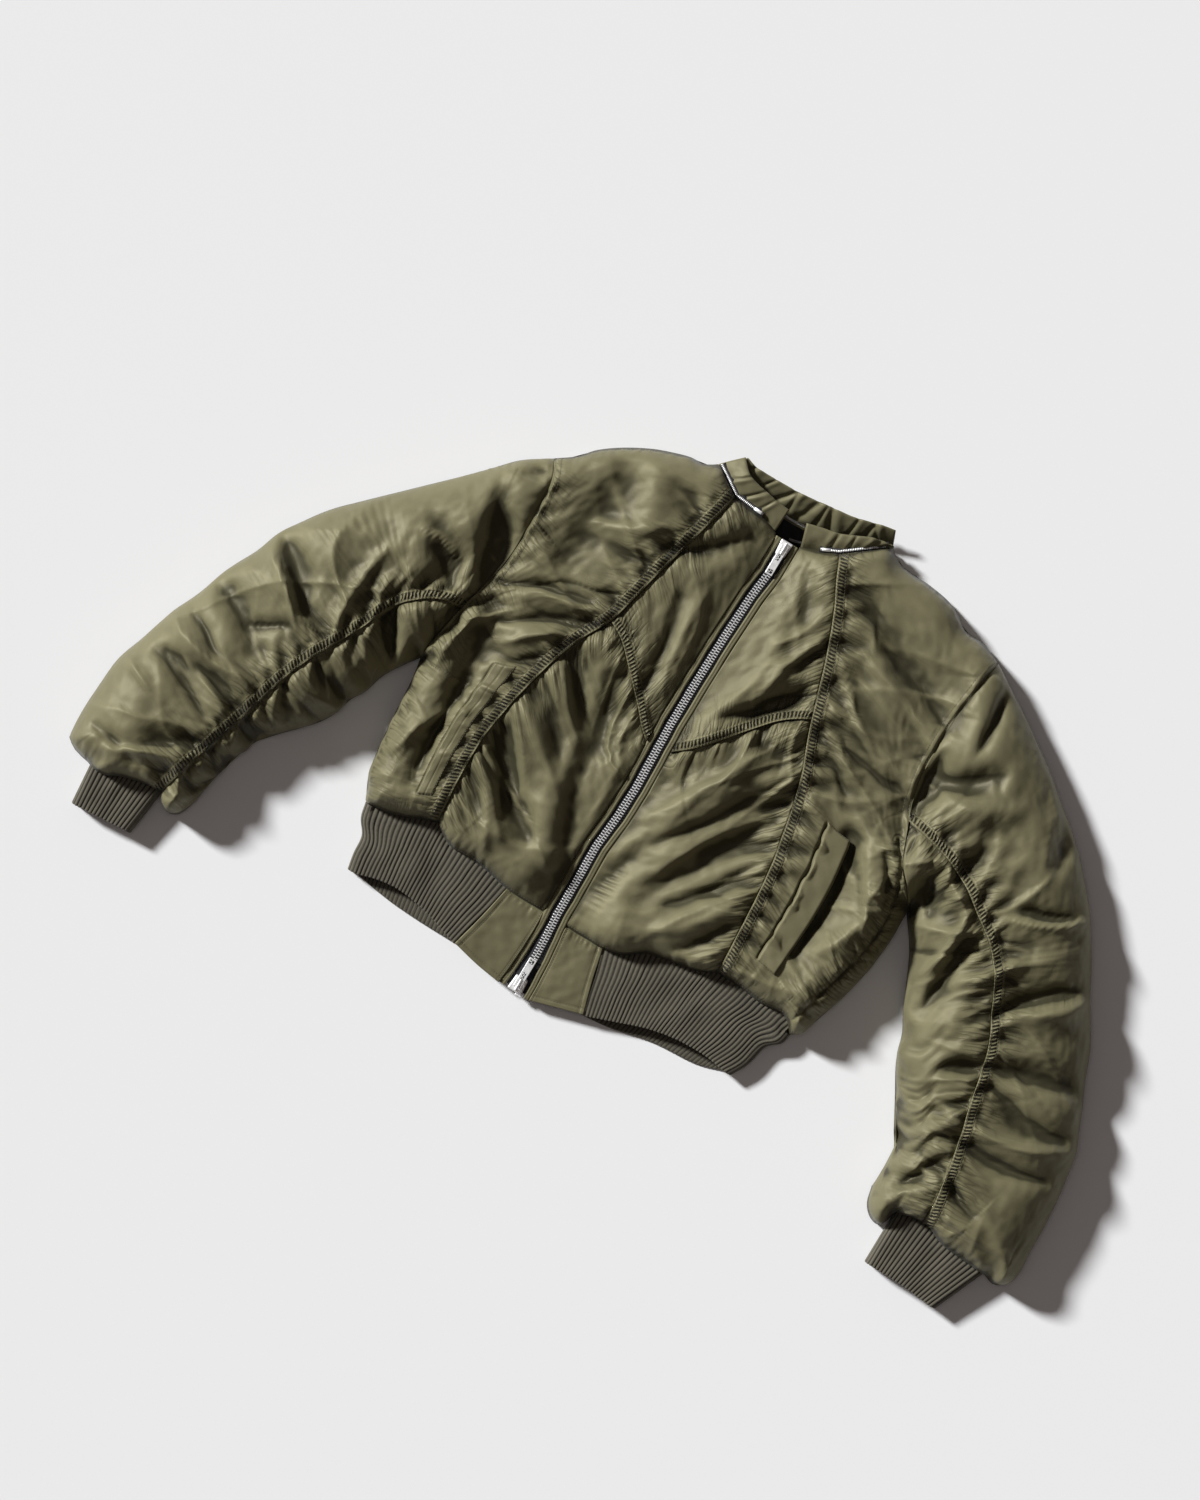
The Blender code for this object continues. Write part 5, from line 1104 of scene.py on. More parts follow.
def zipFront(nylon, tape, metal):
    # placket folds, tapes and teeth, all carried along the zip's own line
    ends = frontZip["tapeEnds"]
    y = np.linspace(*ends, 330)
    centre, across, up = zipFrames(y)
    rng = np.random.default_rng(frontZip["seed"])
    for side, sign in (("left", -1), ("right", 1)):
        wobble, lift = (np.interp(y, np.linspace(*ends, n), rng.uniform(-1, 1, n)) for n in (40, 60))
        outside = frontZip["placketOut"][side]
        section = np.array([*frontZip["placket"], (outside, -1.0), (outside + 0.3, -3.2)])
        out = sign * (section[:, 0] + spreadAt(y)[:, None]) + 0.35 * wobble[:, None]
        high = section[:, 1] + 0.45 * lift[:, None] * (section[:, 1] > -1.2)
        grid = centre[:, None] + across[:, None] * out[..., None] + up[:, None] * high[..., None]
        clothPiece(f"placket{side.title()}", grid, nylon, thirds(f"placket_{side}"), flip=sign < 0)
        stitched(grid[:, 7], up, 0.1)
        section = np.array(frontZip["tape"])
        out = sign * (section[:, 0] + spreadAt(y)[:, None] * np.clip(section[:, 0] / 6 - 0.4, 0, 1))
        grid = centre[:, None] + across[:, None] * out[..., None] + up[:, None] * (section[:, 1:] - 0.4)
        clothPiece(f"zipTape{side.title()}", grid[2:-2], tape, thirds(f"zip_tape_{side}"), flip=sign < 0)
    shape, faces = roundedBox(frontZip["toothWidth"], frontZip["toothLength"], frontZip["toothHeight"], 0.35)
    shape[:, 1] *= np.where(shape[:, 0] < 0, 0.72, 1.0)  # the tip of a tooth is narrower
    points, quads = [], []
    for sign, shift in ((-1, 0.0), (1, 0.5)):
        at = np.arange(frontZip["low"] + shift * frontZip["pitch"], frontZip["high"], frontZip["pitch"])
        centre, across, up = zipFrames(at)
        place = centre + across * (sign * (frontZip["toothWidth"] / 2 - frontZip["overlap"])) - up * 0.9
        p, q = copiesAlong(shape, faces, place, across * sign, up)
        quads.append(q + sum(len(a) for a in points))
        points.append(p)
    piece = meshPiece("zipTeeth", np.vstack(points), np.vstack(quads), metal, smooth=False)
    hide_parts(*thirds("zip_chain"))
    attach(piece, "jacket")


ribs = {
    "pitch": 4.6, "raise": 1.5, "roll": 8.0, "wall": 2.6, "rows": 27, "facesPerRib": 7,
    "hemCounts": {"left": 30, "right": 35}, "backCount": 98,
}


def hemHeight(y):
    return np.interp(y, (-255, -150), (14.5, 18.5))


def ribWave(phase):
    # rounded cords with narrow grooves: the root of the sine's size
    return np.sqrt(np.abs(np.sin(math.pi * phase)) + 0.02)


def facingUp(grid):
    return np.tile([0.0, 0.0, 1.0], grid.shape[:2] + (1,))


def ribbedPiece(name, outer, way, phase, knit, node, closed=False):
    # knit cut double: cords raised on its outer face, a half turn over the foot and an inner face with
    # cords of its own; way is where the outer face looks, phase counts the cords
    cord = ribWave(phase)
    raised = ribs["raise"] * (cord - 0.6)[None, :, None] * np.clip((outer[..., 2:] - 0.4) / 1.5, 0, 1)
    inner = outer - way * (ribs["wall"] - 0.4 * ribWave(phase + 0.5)[None, :, None])
    outside = outer + way * raised
    centre, half = (outside[-1] + inner[-1]) / 2, (outside[-1] - inner[-1]) / 2
    out = np.array([0.0, -1.0, 0.0])
    thick = np.linalg.norm(half, axis=1)[:, None]
    turns = np.radians((30, 60, 90, 120, 150))
    bend = [centre + half * math.cos(a) + out * thick * math.sin(a) for a in turns]
    grid = np.concatenate([outside, np.stack(bend), inner[::-1]])
    # for the knit: height of the cord (0 in the groove), place across it from its middle, way down it
    rows = np.ones((len(grid), 1))
    field = np.dstack([rows * cord[None], rows * ((phase % 1) - 0.5)[None], gridLengths(grid)[1]])
    clothPiece(name, grid, knit, node, flip=closed, closed=closed, rib=field)


def sideRoll(edge, crown, out, roll, angles, base):
    # round side of a band, a half circle in section: out by the cosine and up by the sine of the angle
    points, ways = [], []
    for angle in angles:
        points.append(np.column_stack([edge[:, 0] + out * roll * math.cos(angle), edge[:, 1],
                                       crown / 2 * (1 + math.sin(angle)) + base]))
        ways.append(np.tile([out * math.cos(angle), 0, math.sin(angle)], (len(edge), 1)))
    return np.stack(points, axis=1), np.stack(ways, axis=1)


def hemRib(knit):
    # a band from facing to facing round the back: outer face, rolled foot, inner face; ribs on both
    roll, perRib = ribs["roll"], ribs["facesPerRib"]
    down = np.linspace(0, 1, ribs["rows"])
    grids, ways = [], []
    for side, way in (("left", 1), ("right", -1)):
        c = sideLines(side)
        seam = joined(c["HemSide"], smoothCurve(edges[f"{side}HemFront"][:6]))
        foot = c["RibFoot"]
        count = ribs["hemCounts"][side] * perRib
        share = np.linspace(0, 1, count + 1)
        upper = spaced(seam, mixed(roll / lineLength(seam), 1, share))
        lower = spaced(foot, share)
        lower[:, 0] += way * roll * (1 - share)
        edge = spaced(c["RibEdge"], down)
        grid = mixed(upper[None], lower[None], down[:, None, None])
        near = np.exp(-share * 6)[None, :, None]
        shift = edge[:, None] + np.array([way * roll, 0]) - grid[:, :1]
        grid = grid + shift * near * (down > 0)[:, None, None]
        # the ribs bow a little, and the band's foot swings in and out
        bow = 1.2 * np.sin(math.pi * down)[:, None] * smoothNoise((len(down), count + 1), (4, 9), 7)
        high = hemHeight(grid[..., 1]) + 1.6 * smoothNoise((len(down), count + 1), (4, 8), 9) * np.sin(
            math.pi * np.clip(down * 0.8 + 0.1, 0, 1))[:, None]
        sink = 2.6 * bell(down, 0.07)[:, None]
        top = np.dstack([grid[..., 0] + bow, grid[..., 1], high - sink])
        rollGrid, rollWay = sideRoll(edge + np.array([way * roll, 0]), high[:, 0], -way, roll,
                                     np.radians(np.linspace(90, -90, 27))[1:], 0.15)
        grids.append(np.concatenate([top[:, ::-1], rollGrid], axis=1))
        ways.append(np.concatenate([facingUp(top), rollWay], axis=1))
    count = ribs["backCount"] * perRib
    share = np.linspace(0, 1, count + 1)
    upper, lower = spaced(curves["backHem"], share), spaced(curves["backRibFoot"], share)
    squeeze = roll * (1 - 2 * share)
    upper[:, 0] += squeeze
    lower[:, 0] += squeeze
    back = mixed(upper[None], lower[None], down[:, None, None])
    back = np.dstack([back, np.full(back.shape[:2], 0.15)])
    outer = np.concatenate([grids[0], back[:, 1:-1], grids[1][:, ::-1]], axis=1)
    way = np.concatenate([ways[0], -facingUp(back[:, 1:-1]), ways[1][:, ::-1]], axis=1)
    ribbedPiece("hemRib", outer, way, gridLengths(outer)[0].mean(axis=0) / ribs["pitch"], knit, "hem_rib")


cuffs = {
    "left": {"foot": ((-480, -330), (-450, -328), (-414, -326)), "ribs": 17, "seed": 31},
    "right": {"foot": ((445, -314), (490, -315), (530, -318)), "ribs": 18, "seed": 37},
    "roll": 7.0, "facesPerRib": 9, "rows": 30, "tuckUp": 6,
}


def cuffRib(side, knit):
    # flattened tube: top face, round one side, underneath, round the other, ribbed all round
    sizes, roll = cuffs[side], cuffs["roll"]
    down = np.linspace(0, 1, cuffs["rows"])
    mouth = curves[f"{side}Mouth"]
    if mouth[0, 0] > mouth[-1, 0]:
        mouth = mouth[::-1]
    count = sizes["ribs"] * cuffs["facesPerRib"]
    share = np.linspace(0, 1, count + 1)
    upper, lower = spaced(mouth, share), spaced(smoothCurve(sizes["foot"]), share)
    squeeze = roll * (1 - 2 * share)
    upper[:, 0] += squeeze
    lower[:, 0] += squeeze
    upper[:, 1] += cuffs["tuckUp"]
    top = mixed(upper[None], lower[None], down[:, None, None])
    ridge = 1.5 * smoothNoise((len(down), count + 1), (4, 6), sizes["seed"])
    high = np.interp(down, (0, 0.12, 1), (19.0, 23.5, 20.5))[:, None] + ridge * np.sin(math.pi * share)[None]
    top = np.dstack([top, high])
    bottom = top[:, ::-1].copy()
    bottom[..., 2] = 0.2
    angles = np.radians(np.linspace(90, -90, 26)[1:-1])
    east, eastWay = sideRoll(top[:, -1], top[:, -1, 2], 1, roll, angles, 0.1)
    west, westWay = sideRoll(top[:, 0], top[:, 0, 2], -1, roll, angles, 0.1)
    outer = np.concatenate([top, east, bottom, west[:, ::-1]], axis=1)
    way = np.concatenate([facingUp(top), eastWay, -facingUp(bottom), westWay[:, ::-1]], axis=1)
    length = gridLengths(outer)[0].mean(axis=0)
    ringLength = length[-1] + np.linalg.norm(outer[:, -1] - outer[:, 0], axis=1).mean()
    phase = length / (ringLength / round(ringLength / ribs["pitch"]))
    ribbedPiece(f"cuff{side.title()}", outer, way, phase, knit, f"cuff_{side}", closed=True)


collar = {
    "thick": 4.2, "step": 1.3,
    "topLeft": ((-78.5, 316), (-66, 303), (-52, 298), (-40, 296), (-28, 293.5), (-12, 292)),
    "topRight": ((97, 317), (76, 312), (60, 305), (44, 298), (26, 294), (10, 290)),
    "backTop": ((-76, 317), (-60, 313), (-20, 313), (0, 314.5), (20, 317), (45, 320), (65, 325), (80, 329),
                (91, 331)),
    "backFoot": ((-93, 300), (-60, 294), (0, 290), (52, 299), (97, 318)),
    # gathers: share along the band, half width as a share, depth in millimetres, lean
    "backGathers": ((0.05, 0.012, 1.6, 0.03), (0.13, 0.018, 2.6, -0.05), (0.2, 0.01, 1.4, 0.02),
                    (0.3, 0.02, 2.8, 0.06), (0.41, 0.012, 1.7, -0.03), (0.47, 0.022, 2.5, 0.04),
                    (0.57, 0.011, 1.5, 0.0), (0.66, 0.02, 2.9, -0.06), (0.74, 0.012, 1.8, 0.03),
                    (0.82, 0.018, 2.4, 0.05), (0.91, 0.012, 1.8, -0.03)),
    "leftGathers": ((0.2, 0.02, 1.2, 0.09), (0.44, 0.026, 1.7, 0.14), (0.68, 0.018, 1.2, 0.08)),
    "rightGathers": ((0.14, 0.02, 1.4, -0.1), (0.3, 0.028, 1.9, -0.14), (0.52, 0.018, 1.3, -0.09),
                     (0.72, 0.024, 1.5, -0.1)),
}


def standBand(name, foot, top, footHeight, topHeight, gathers, seed, material, node, flip):
    # padded band: its outer cloth swells between the gathers pinched along its foot, rolls over the top
    # edge and comes down behind
    length = lineLength(foot)
    count = int(length / collar["step"])
    share = np.linspace(0, 1, count)
    lower = np.column_stack([spaced(foot, share), footHeight(share)])
    upper = np.column_stack([spaced(top, share), topHeight(share)])
    rows = max(int(np.linalg.norm(upper - lower, axis=1).mean() / collar["step"]), 10)
    rise = np.linspace(0, 1, rows)
    base = mixed(lower[None], upper[None], rise[:, None, None])
    base[..., 2] += 2.2 * np.sin(math.pi * rise)[:, None]
    pinch = np.zeros(base.shape[:2])
    for at, width, depth, lean in gathers:
        line = at + lean * rise[:, None]
        off = share[None] - line
        pinch += depth * (0.7 + 0.3 * np.sin(math.pi * rise))[:, None] * (
            bell(off, width) - 0.55 * bell(off - 2.3 * width, 1.6 * width))
    base[..., 2] -= pinch
    free = np.ones(base.shape[:2]) * np.clip(np.minimum(share, 1 - share)[None] * 25, 0, 1)
    free[0] = 0
    free[-1] *= 0.25
    spare = np.full(base.shape[:2], 0.012)
    wave = np.full(base.shape[:2], 17.0)
    atFoot = 0.03 * np.exp(-rise * 4)[:, None]
    grid = settled(base, spare + atFoot, spare, wave, collar["step"], free, 70, seed).astype(float)
    grid = ditched(grid, [None, None, gridLengths(grid)[1], None], ("start",), 1.6)
    rim, before = grid[-1], grid[-4]
    out = unit(rim - before)
    half = collar["thick"] / 2
    down = np.array([0, 0, -1.0])
    centre = rim + down * half
    turns = np.radians((35, 70, 110, 145, 180))
    bend = [centre + half * (math.sin(a) * out - math.cos(a) * down) for a in turns]
    behind = grid[::-1][1:] + down * collar["thick"]
    whole = np.concatenate([grid, np.stack(bend), behind])
    middle = (whole + whole[::-1][:len(whole)]) / 2
    whole[:, 0] = mixed(whole, middle, 0.9)[:, 0]
    whole[:, -1] = mixed(whole, middle, 0.9)[:, -1]
    clothPiece(name, whole, material, node, flip=flip)
    return grid


# Zips along the neck seam: shares of the collar's foot, and the tape's section (across, height)
collarZip = {
    "left": (0.02, 0.78), "right": (0.05, 0.8), "pitch": 1.75, "bead": (1.5, 3.0, 1.5),
    "stop": (9.0, 3.4, 1.6, 0.4), "points": 200,
    "section": ((-2.2, -4.0), (-1.8, 0.4), (-0.4, 1.5), (2.4, 2.0), (4.8, 2.1), (6.6, 1.4), (7.2, -2.0)),
}


def collarPieces(nylon, tape, metal):
    fronts = {}
    for side in ("left", "right"):
        foot = joined(curves[f"{side}NeckSide"], smoothCurve(edges[f"{side}NeckFront"][:4]))
        foot = foot + np.array([0, 0.3])
        top = smoothCurve(collar[f"top{side.title()}"])
        footHeight = lambda s: np.interp(s, (0, 0.25, 1), (17, 26, 24))
        topHeight = lambda s: footHeight(s) + np.interp(s, (0, 0.3, 1), (10, 9, 8))
        fronts[side] = standBand(f"collarFront{side.title()}", foot, top, footHeight, topHeight,
                                 collar[f"{side}Gathers"], 15 if side == "left" else 16, nylon,
                                 f"collar_front_{side}", side == "right")
    foot, top = smoothCurve(collar["backFoot"]), smoothCurve(collar["backTop"])
    foot = foot + np.array([0, 0.3])
    standBand("collarBack", foot, top, lambda s: 6 + 0 * s, lambda s: 24 + 0 * s,
              collar["backGathers"], 17, nylon, "collar_back", False)
    # short zips along the neck seam: black tape with a row of silver coil on it and a metal end
    bead, beadFaces = capsule(*collarZip["bead"])
    stop, stopFaces = roundedBox(*collarZip["stop"])
    section = np.array(collarZip["section"])
    up = np.array([0, 0, 1.0])
    count = collarZip["points"]
    for side, grid in fronts.items():
        columns = np.linspace(*collarZip[side], count) * (grid.shape[1] - 1)
        base = refined(grid[:6], np.array([0.0]), columns)[0]
        ahead = np.gradient(base, axis=0)
        across = unit(np.column_stack([-ahead[:, 1], ahead[:, 0], 0 * ahead[:, 0]]))
        across *= np.sign(across[:, 1:2])
        calm = blurred(base[:, None, 2:], 9)[:, 0, 0]
        line = np.column_stack([base[:, :2], np.maximum(calm, base[:, 2]) + 3.6])
        tapeGrid = line[:, None] + across[:, None] * section[:, :1] + up * section[:, 1:]
        clothPiece(f"collarTape{side.title()}", tapeGrid, tape, f"collar_zip_{side}", flip=side == "left")
        middle = line + across * 2.5 + up * 2.5
        centres, along, ups = evenly(middle, np.tile(up, (count, 1)), collarZip["pitch"])
        points, quads = copiesAlong(bead, beadFaces, centres, along, ups)
        last = np.s_[-4:-3]
        endPoints, endQuads = copiesAlong(stop, stopFaces, centres[last] + up * 0.5, along[last], ups[last])
        coil = meshPiece(f"collarCoil{side.title()}", np.vstack([points, endPoints]),
                         np.vstack([quads, endQuads + len(points)]), metal)
        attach(coil, "jacket")


neck = {
    "liningFoot": ((-60, 250), (0, 246), (60, 252)), "liningTop": ((-56, 289), (0, 285), (52, 292)),
    "loop": ((3, 270.5, 8.9), (9, 271.5, 9.7), (16, 274, 9.6), (22, 277, 9.4)), "loopHalf": (1.35, 0.75),
}


def neckInside(black, grey):
    foot, top = smoothCurve(neck["liningFoot"]), smoothCurve(neck["liningTop"])
    share, rise = np.linspace(0, 1, 90), np.linspace(0, 1, 40)
    plan = mixed(spaced(foot, share)[None], spaced(top, share)[None], rise[:, None, None])
    high = 5 + 3 * rise[:, None] + 1.1 * smoothNoise((40, 90), (5, 12), 77)
    grid = np.dstack([plan, high])
    clothPiece("neckLining", grid, black, "neck_lining")
    # hanger loop: a flat cord with a soft twist
    line = smoothCurve(neck["loop"], 12)
    ahead = unit(np.gradient(line, axis=0))
    side = unit(np.cross(ahead, (0, 0, 1.0)))
    up = np.cross(side, ahead)
    turn = np.linspace(0, 2 * math.pi, 12, endpoint=False) + np.linspace(0, 0.6, len(line))[:, None]
    wide, thick = neck["loopHalf"]
    grid = (line[:, None] + side[:, None] * (wide * np.cos(turn))[..., None]
            + up[:, None] * (thick * np.sin(turn))[..., None])
    clothPiece("hangerLoop", grid, grey, "hanger_loop", flip=True, closed=True)


facings = {
    "left": {"foot": ((-75.5, -253), (-45, -260), (-17, -264)), "seeds": (51, 33)},
    "right": {"foot": ((72.5, -248), (45, -256), (18, -264)), "seeds": (53, 34)},
    "step": 1.1, "wide": 52, "tall": 84, "rows": {"left": 5.2, "start": 5.4, "right": 2.2},
}


def facingSquare(side, nylon):
    # flat square of the shell cloth beside the zip, padded edges on three sides, gathered into the hem seam
    sign = -1 if side == "left" else 1
    foot = smoothCurve(facings[side]["foot"])
    unevenSeed, settleSeed = facings[side]["seeds"]
    seam = smoothCurve(edges[f"{side}HemFront"][-3:])

    def besidePlacket(y):
        return zipX(y) + sign * (frontZip["seamOut"] + spreadAt(y))

    for line in (seam, foot):
        line[-1, 0] = besidePlacket(line[-1, 1])
    innerY = np.linspace(foot[-1, 1], seam[-1, 1], 30)
    inner = np.column_stack([besidePlacket(innerY), innerY])
    outer = smoothCurve((foot[0], mixed(foot[0], seam[0], 0.5) + np.array([sign * -0.8, 0]), seam[0]))
    rows, columns = int(facings["tall"] / facings["step"]), int(facings["wide"] / facings["step"])
    plan = coonsGrid(foot, seam, outer, inner, np.linspace(0, 1, columns), np.linspace(0, 1, rows))
    high = hemHeight(plan[..., 1]) + 0.6
    near = 1 - np.clip(np.abs(plan[..., 0] - zipX(plan[..., 1]) - sign * frontZip["seamOut"]) / 14, 0, 1)
    high = mixed(high, np.maximum(zipZ(plan[..., 1]) + 0.5, high), near)
    base = np.dstack([plan, high])
    gap = borderGaps(base)
    inside = np.clip(np.minimum(gap[0], gap[2]) / 12, 0, 1)
    base[..., 2] += 0.7 * smoothNoise(base.shape[:2], (5, 4), unevenSeed) * inside
    spareU = 0.003 + 0.07 * np.exp(-gap[3] / 7)
    spareV = np.full(high.shape, 0.003)
    wave = 6.5 + 14 * (1 - np.exp(-gap[3] / 18))
    grid = settled(base, spareU, spareV, wave, facings["step"], freeInside(high.shape), 110, settleSeed)
    grid = grid.astype(float)
    for border, at in facings["rows"].items():
        beyond = at - gap[borderOrder[border]]
        grid[..., 2] -= 0.55 * bell(beyond, 0.8)
        if border != "right":
            grid[..., 2] += 0.5 * np.clip(beyond / 1.5, 0, 1)
    grid[..., 2] -= 1.8 * bell(gap[3], 2.2)
    name = f"facing{side.title()}"
    turnedPiece(name, grid, gap, nylon, f"hem_facing_{side}", sign > 0)
    for border, at in facings["rows"].items():
        stitched(*borderLine(name, border, at))


welts = {
    # shares across the side panel and the two heights of each welt
    "left": {"across": (0.61, 0.79), "along": (-140, 14), "seed": 61},
    "right": {"across": (0.57, 0.765), "along": (-112, 42), "seed": 62},
    "lift": 2.0, "step": 1.2, "columns": 24, "stitchRow": 2.0,
}


def welt(side, nylon):
    # folded strip over the pocket mouth: rides on the side panel, thick at its open edge, sewn at the rest
    grid = surfaces[f"sidePanel{side.title()}"][0]
    low, high = welts[side]["along"]
    (rowLow, rowHigh), (columnLow, columnHigh) = weltPlace(side, grid)
    columns = np.linspace(columnLow, columnHigh, welts["columns"])
    rows = np.linspace(rowLow, rowHigh, int((high - low) / welts["step"]))
    top = refined(grid, rows, columns)
    calm = top.copy()
    for turn in range(60):
        calm[..., 2] = mixed(calm[..., 2], averaged(calm[..., 2:])[..., 0], 0.9)
    calm[..., 2] = np.maximum(calm[..., 2], top[..., 2] - 0.6)
    across = np.linspace(0, 1, len(columns))[None]
    along = np.linspace(0, 1, len(rows))[:, None]
    # thickness: most at the folded edge, less towards the sewn side, with rounded rims
    thick = welts["lift"] * (0.75 + 0.6 * (1 - across))
    rim = np.minimum(np.minimum(across, 1 - across) * 14, np.minimum(along, 1 - along) * 80)
    rim = np.clip(rim, 0, 1) ** 0.5
    ripple = 0.45 * smoothNoise(rim.shape, (22, 4), welts[side]["seed"])
    outer = calm.copy()
    if side == "right":
        # stands off the panel at its back edge, so it shades the cloth beyond
        front = blurred(calm[:, -1:, 2:], 9)[..., 0]
        behind = np.maximum(blurred(calm[:, :1, 2:], 9)[..., 0] + 2.5, front - 1.0)
        outer[..., 2] = np.maximum(mixed(behind, front, across), calm[..., 2])
    outer[..., 2] += (thick + ripple) * rim + 0.15 - 0.6 * (1 - rim)
    outer[..., 2] -= 0.5 * bell((across - 0.5) * len(columns), 0.9) * (side == "left")
    name = f"welt{side.title()}"
    flip = np.cross(outer[1, 0] - outer[0, 0], outer[0, 1] - outer[0, 0])[2] > 0
    turnedPiece(name, outer, borderGaps(outer), nylon, f"pocket_welt_{side}", flip)
    for place in ("start", "end", "right" if side == "left" else "left"):
        stitched(*borderLine(name, place, welts["stitchRow"]))


def nodeTree(name):
    material = bpy.data.materials.new(name)
    material.use_nodes = True
    tree = material.node_tree
    tree.nodes.clear()
    out = tree.nodes.new("ShaderNodeOutputMaterial")
    skin = tree.nodes.new("ShaderNodeBsdfPrincipled")
    tree.links.new(skin.outputs["BSDF"], out.inputs["Surface"])
    return material, tree, skin


def feed(tree, node, sockets):
    # sets a node's inputs from values or from other nodes' sockets
    for key, value in sockets.items():
        if isinstance(value, bpy.types.NodeSocket):
            tree.links.new(value, node.inputs[key])
        else:
            node.inputs[key].default_value = value
    return node


def linked(tree, kind, sockets, **settings):
    node = tree.nodes.new(kind)
    for key, value in settings.items():
        setattr(node, key, value)
    return feed(tree, node, sockets)


def maths(tree, operation, a, b=0.0):
    return linked(tree, "ShaderNodeMath", {0: a, 1: b}, operation=operation).outputs[0]


def times(tree, *factors):
    product = factors[0]
    for factor in factors[1:]:
        product = maths(tree, "MULTIPLY", product, factor)
    return product


def plus(tree, a, b):
    return maths(tree, "ADD", a, b)


def minus(tree, a, b):
    return maths(tree, "SUBTRACT", a, b)


def over(tree, a, b):
    return maths(tree, "DIVIDE", a, b)


def absolute(tree, a):
    return maths(tree, "ABSOLUTE", a)


def objectPlace(tree):
    return tree.nodes.new("ShaderNodeTexCoord").outputs["Object"]


def noiseOf(tree, scale, detail=2.0, place=None, **sockets):
    sockets = {"Vector": place or objectPlace(tree), "Scale": scale, "Detail": detail, **sockets}
    return linked(tree, "ShaderNodeTexNoise", sockets).outputs[0]


def attributeOf(tree, name, output="Vector"):
    return linked(tree, "ShaderNodeAttribute", {}, attribute_name=name).outputs[output]


def partsOf(tree, vector):
    return linked(tree, "ShaderNodeSeparateXYZ", {0: vector}).outputs


def ranged(tree, value, low, high, toLow=0.0, toHigh=1.0):
    # eased from toLow at low to toHigh at high
    node = linked(tree, "ShaderNodeMapRange", {0: value, 1: low, 2: high, 3: toLow, 4: toHigh},
                  interpolation_type="SMOOTHSTEP")
    return node.outputs[0]


def newGroup(name, inputs, outputs):
    group = bpy.data.node_groups.new(name, "ShaderNodeTree")
    for label, kind, value in inputs:
        socket = group.interface.new_socket(label, in_out="INPUT", socket_type=f"NodeSocket{kind}")
        if value is not None:
            socket.default_value = value
    for label, kind in outputs:
        group.interface.new_socket(label, in_out="OUTPUT", socket_type=f"NodeSocket{kind}")
    return group, group.nodes.new("NodeGroupInput"), group.nodes.new("NodeGroupOutput")


def crumpleGroup():
    # fine creases of thin cloth: ridges where two warped noises cross zero, at three sizes
    group, given, out = newGroup("clothCrumple", [("Scale", "Float", 1.0)], [("Height", "Float")])
    place = objectPlace(group)
    warp = linked(group, "ShaderNodeTexNoise", {"Vector": place, "Scale": 22.0, "Detail": 2.0})
    shift = linked(group, "ShaderNodeVectorMath", {0: warp.outputs["Color"], 1: (0.5, 0.5, 0.5)},
                   operation="SUBTRACT")
    shift = linked(group, "ShaderNodeVectorMath", {0: shift.outputs[0], "Scale": 0.035}, operation="SCALE")
    moved = linked(group, "ShaderNodeVectorMath", {0: place, 1: shift.outputs[0]}, operation="ADD").outputs[0]
    total = None
    for scale, height in ((34.0, 0.7), (78.0, 0.5), (190.0, 0.3)):
        ridge = absolute(group, minus(group, noiseOf(group, scale, 1.5, moved), 0.5))
        ridge = maths(group, "POWER", plus(group, ridge, 0.004), 0.75)
        part = times(group, ridge, -height)
        total = part if total is None else plus(group, total, part)
    feed(group, out, {"Height": times(group, total, given.outputs["Scale"])})
    return group


def twillGroup():
    # diagonal ribs of the weave crossed by the threads, both finer than half a millimetre
    group, given, out = newGroup("twillWeave", [("Pitch", "Float", 0.45)], [("Height", "Float")])
    place = group.nodes.new("ShaderNodeUVMap").outputs[0]
    x, y = partsOf(group, place)[:2]
    step = over(group, 2 * math.pi / mm, given.outputs["Pitch"])
    slant = plus(group, x, y)
    ribsOf = maths(group, "SINE", times(group, slant, step))
    thread = maths(group, "SINE", times(group, x, times(group, step, 1.6)))
    feed(group, out, {"Height": plus(group, ribsOf, times(group, thread, 0.5))})
    return group


def puckerGroup():
    # ladder of small puckers between two rows of stitches: seam.x is the distance in from the seam,
    # seam.y the way along it, seam.z the band's width, all in millimetres
    group, given, out = newGroup("seamPuckers", [("Pitch", "Float", 3.0)], [("Height", "Float")])
    away, along, wide = partsOf(group, attributeOf(group, "seam"))
    noise = noiseOf(group, 150.0)
    lean = times(group, away, 0.3)
    at = plus(group, plus(group, along, lean), times(group, noise, 3.2))
    wave = maths(group, "SINE", times(group, over(group, at, given.outputs["Pitch"]), 2 * math.pi))
    sharp = minus(group, 1.0, maths(group, "POWER", absolute(group, wave), 1.4))
    far = minus(group, away, wide)
    # full between the two rows of stitches, faint as far as 9 mm past the outer row
    inside = times(group, ranged(group, far, -0.2, -1.4), ranged(group, away, 1.0, 2.0))
    fade = ranged(group, far, 9.0, 0.0)
    strength = times(group, plus(group, inside, times(group, fade, 0.2)),
                     ranged(group, wide, 0.2, 2.0))
    strength = times(group, strength, ranged(group, noise, 0.3, 0.62, 0.8, 1.0))
    feed(group, out, {"Height": times(group, sharp, strength)})
    return group


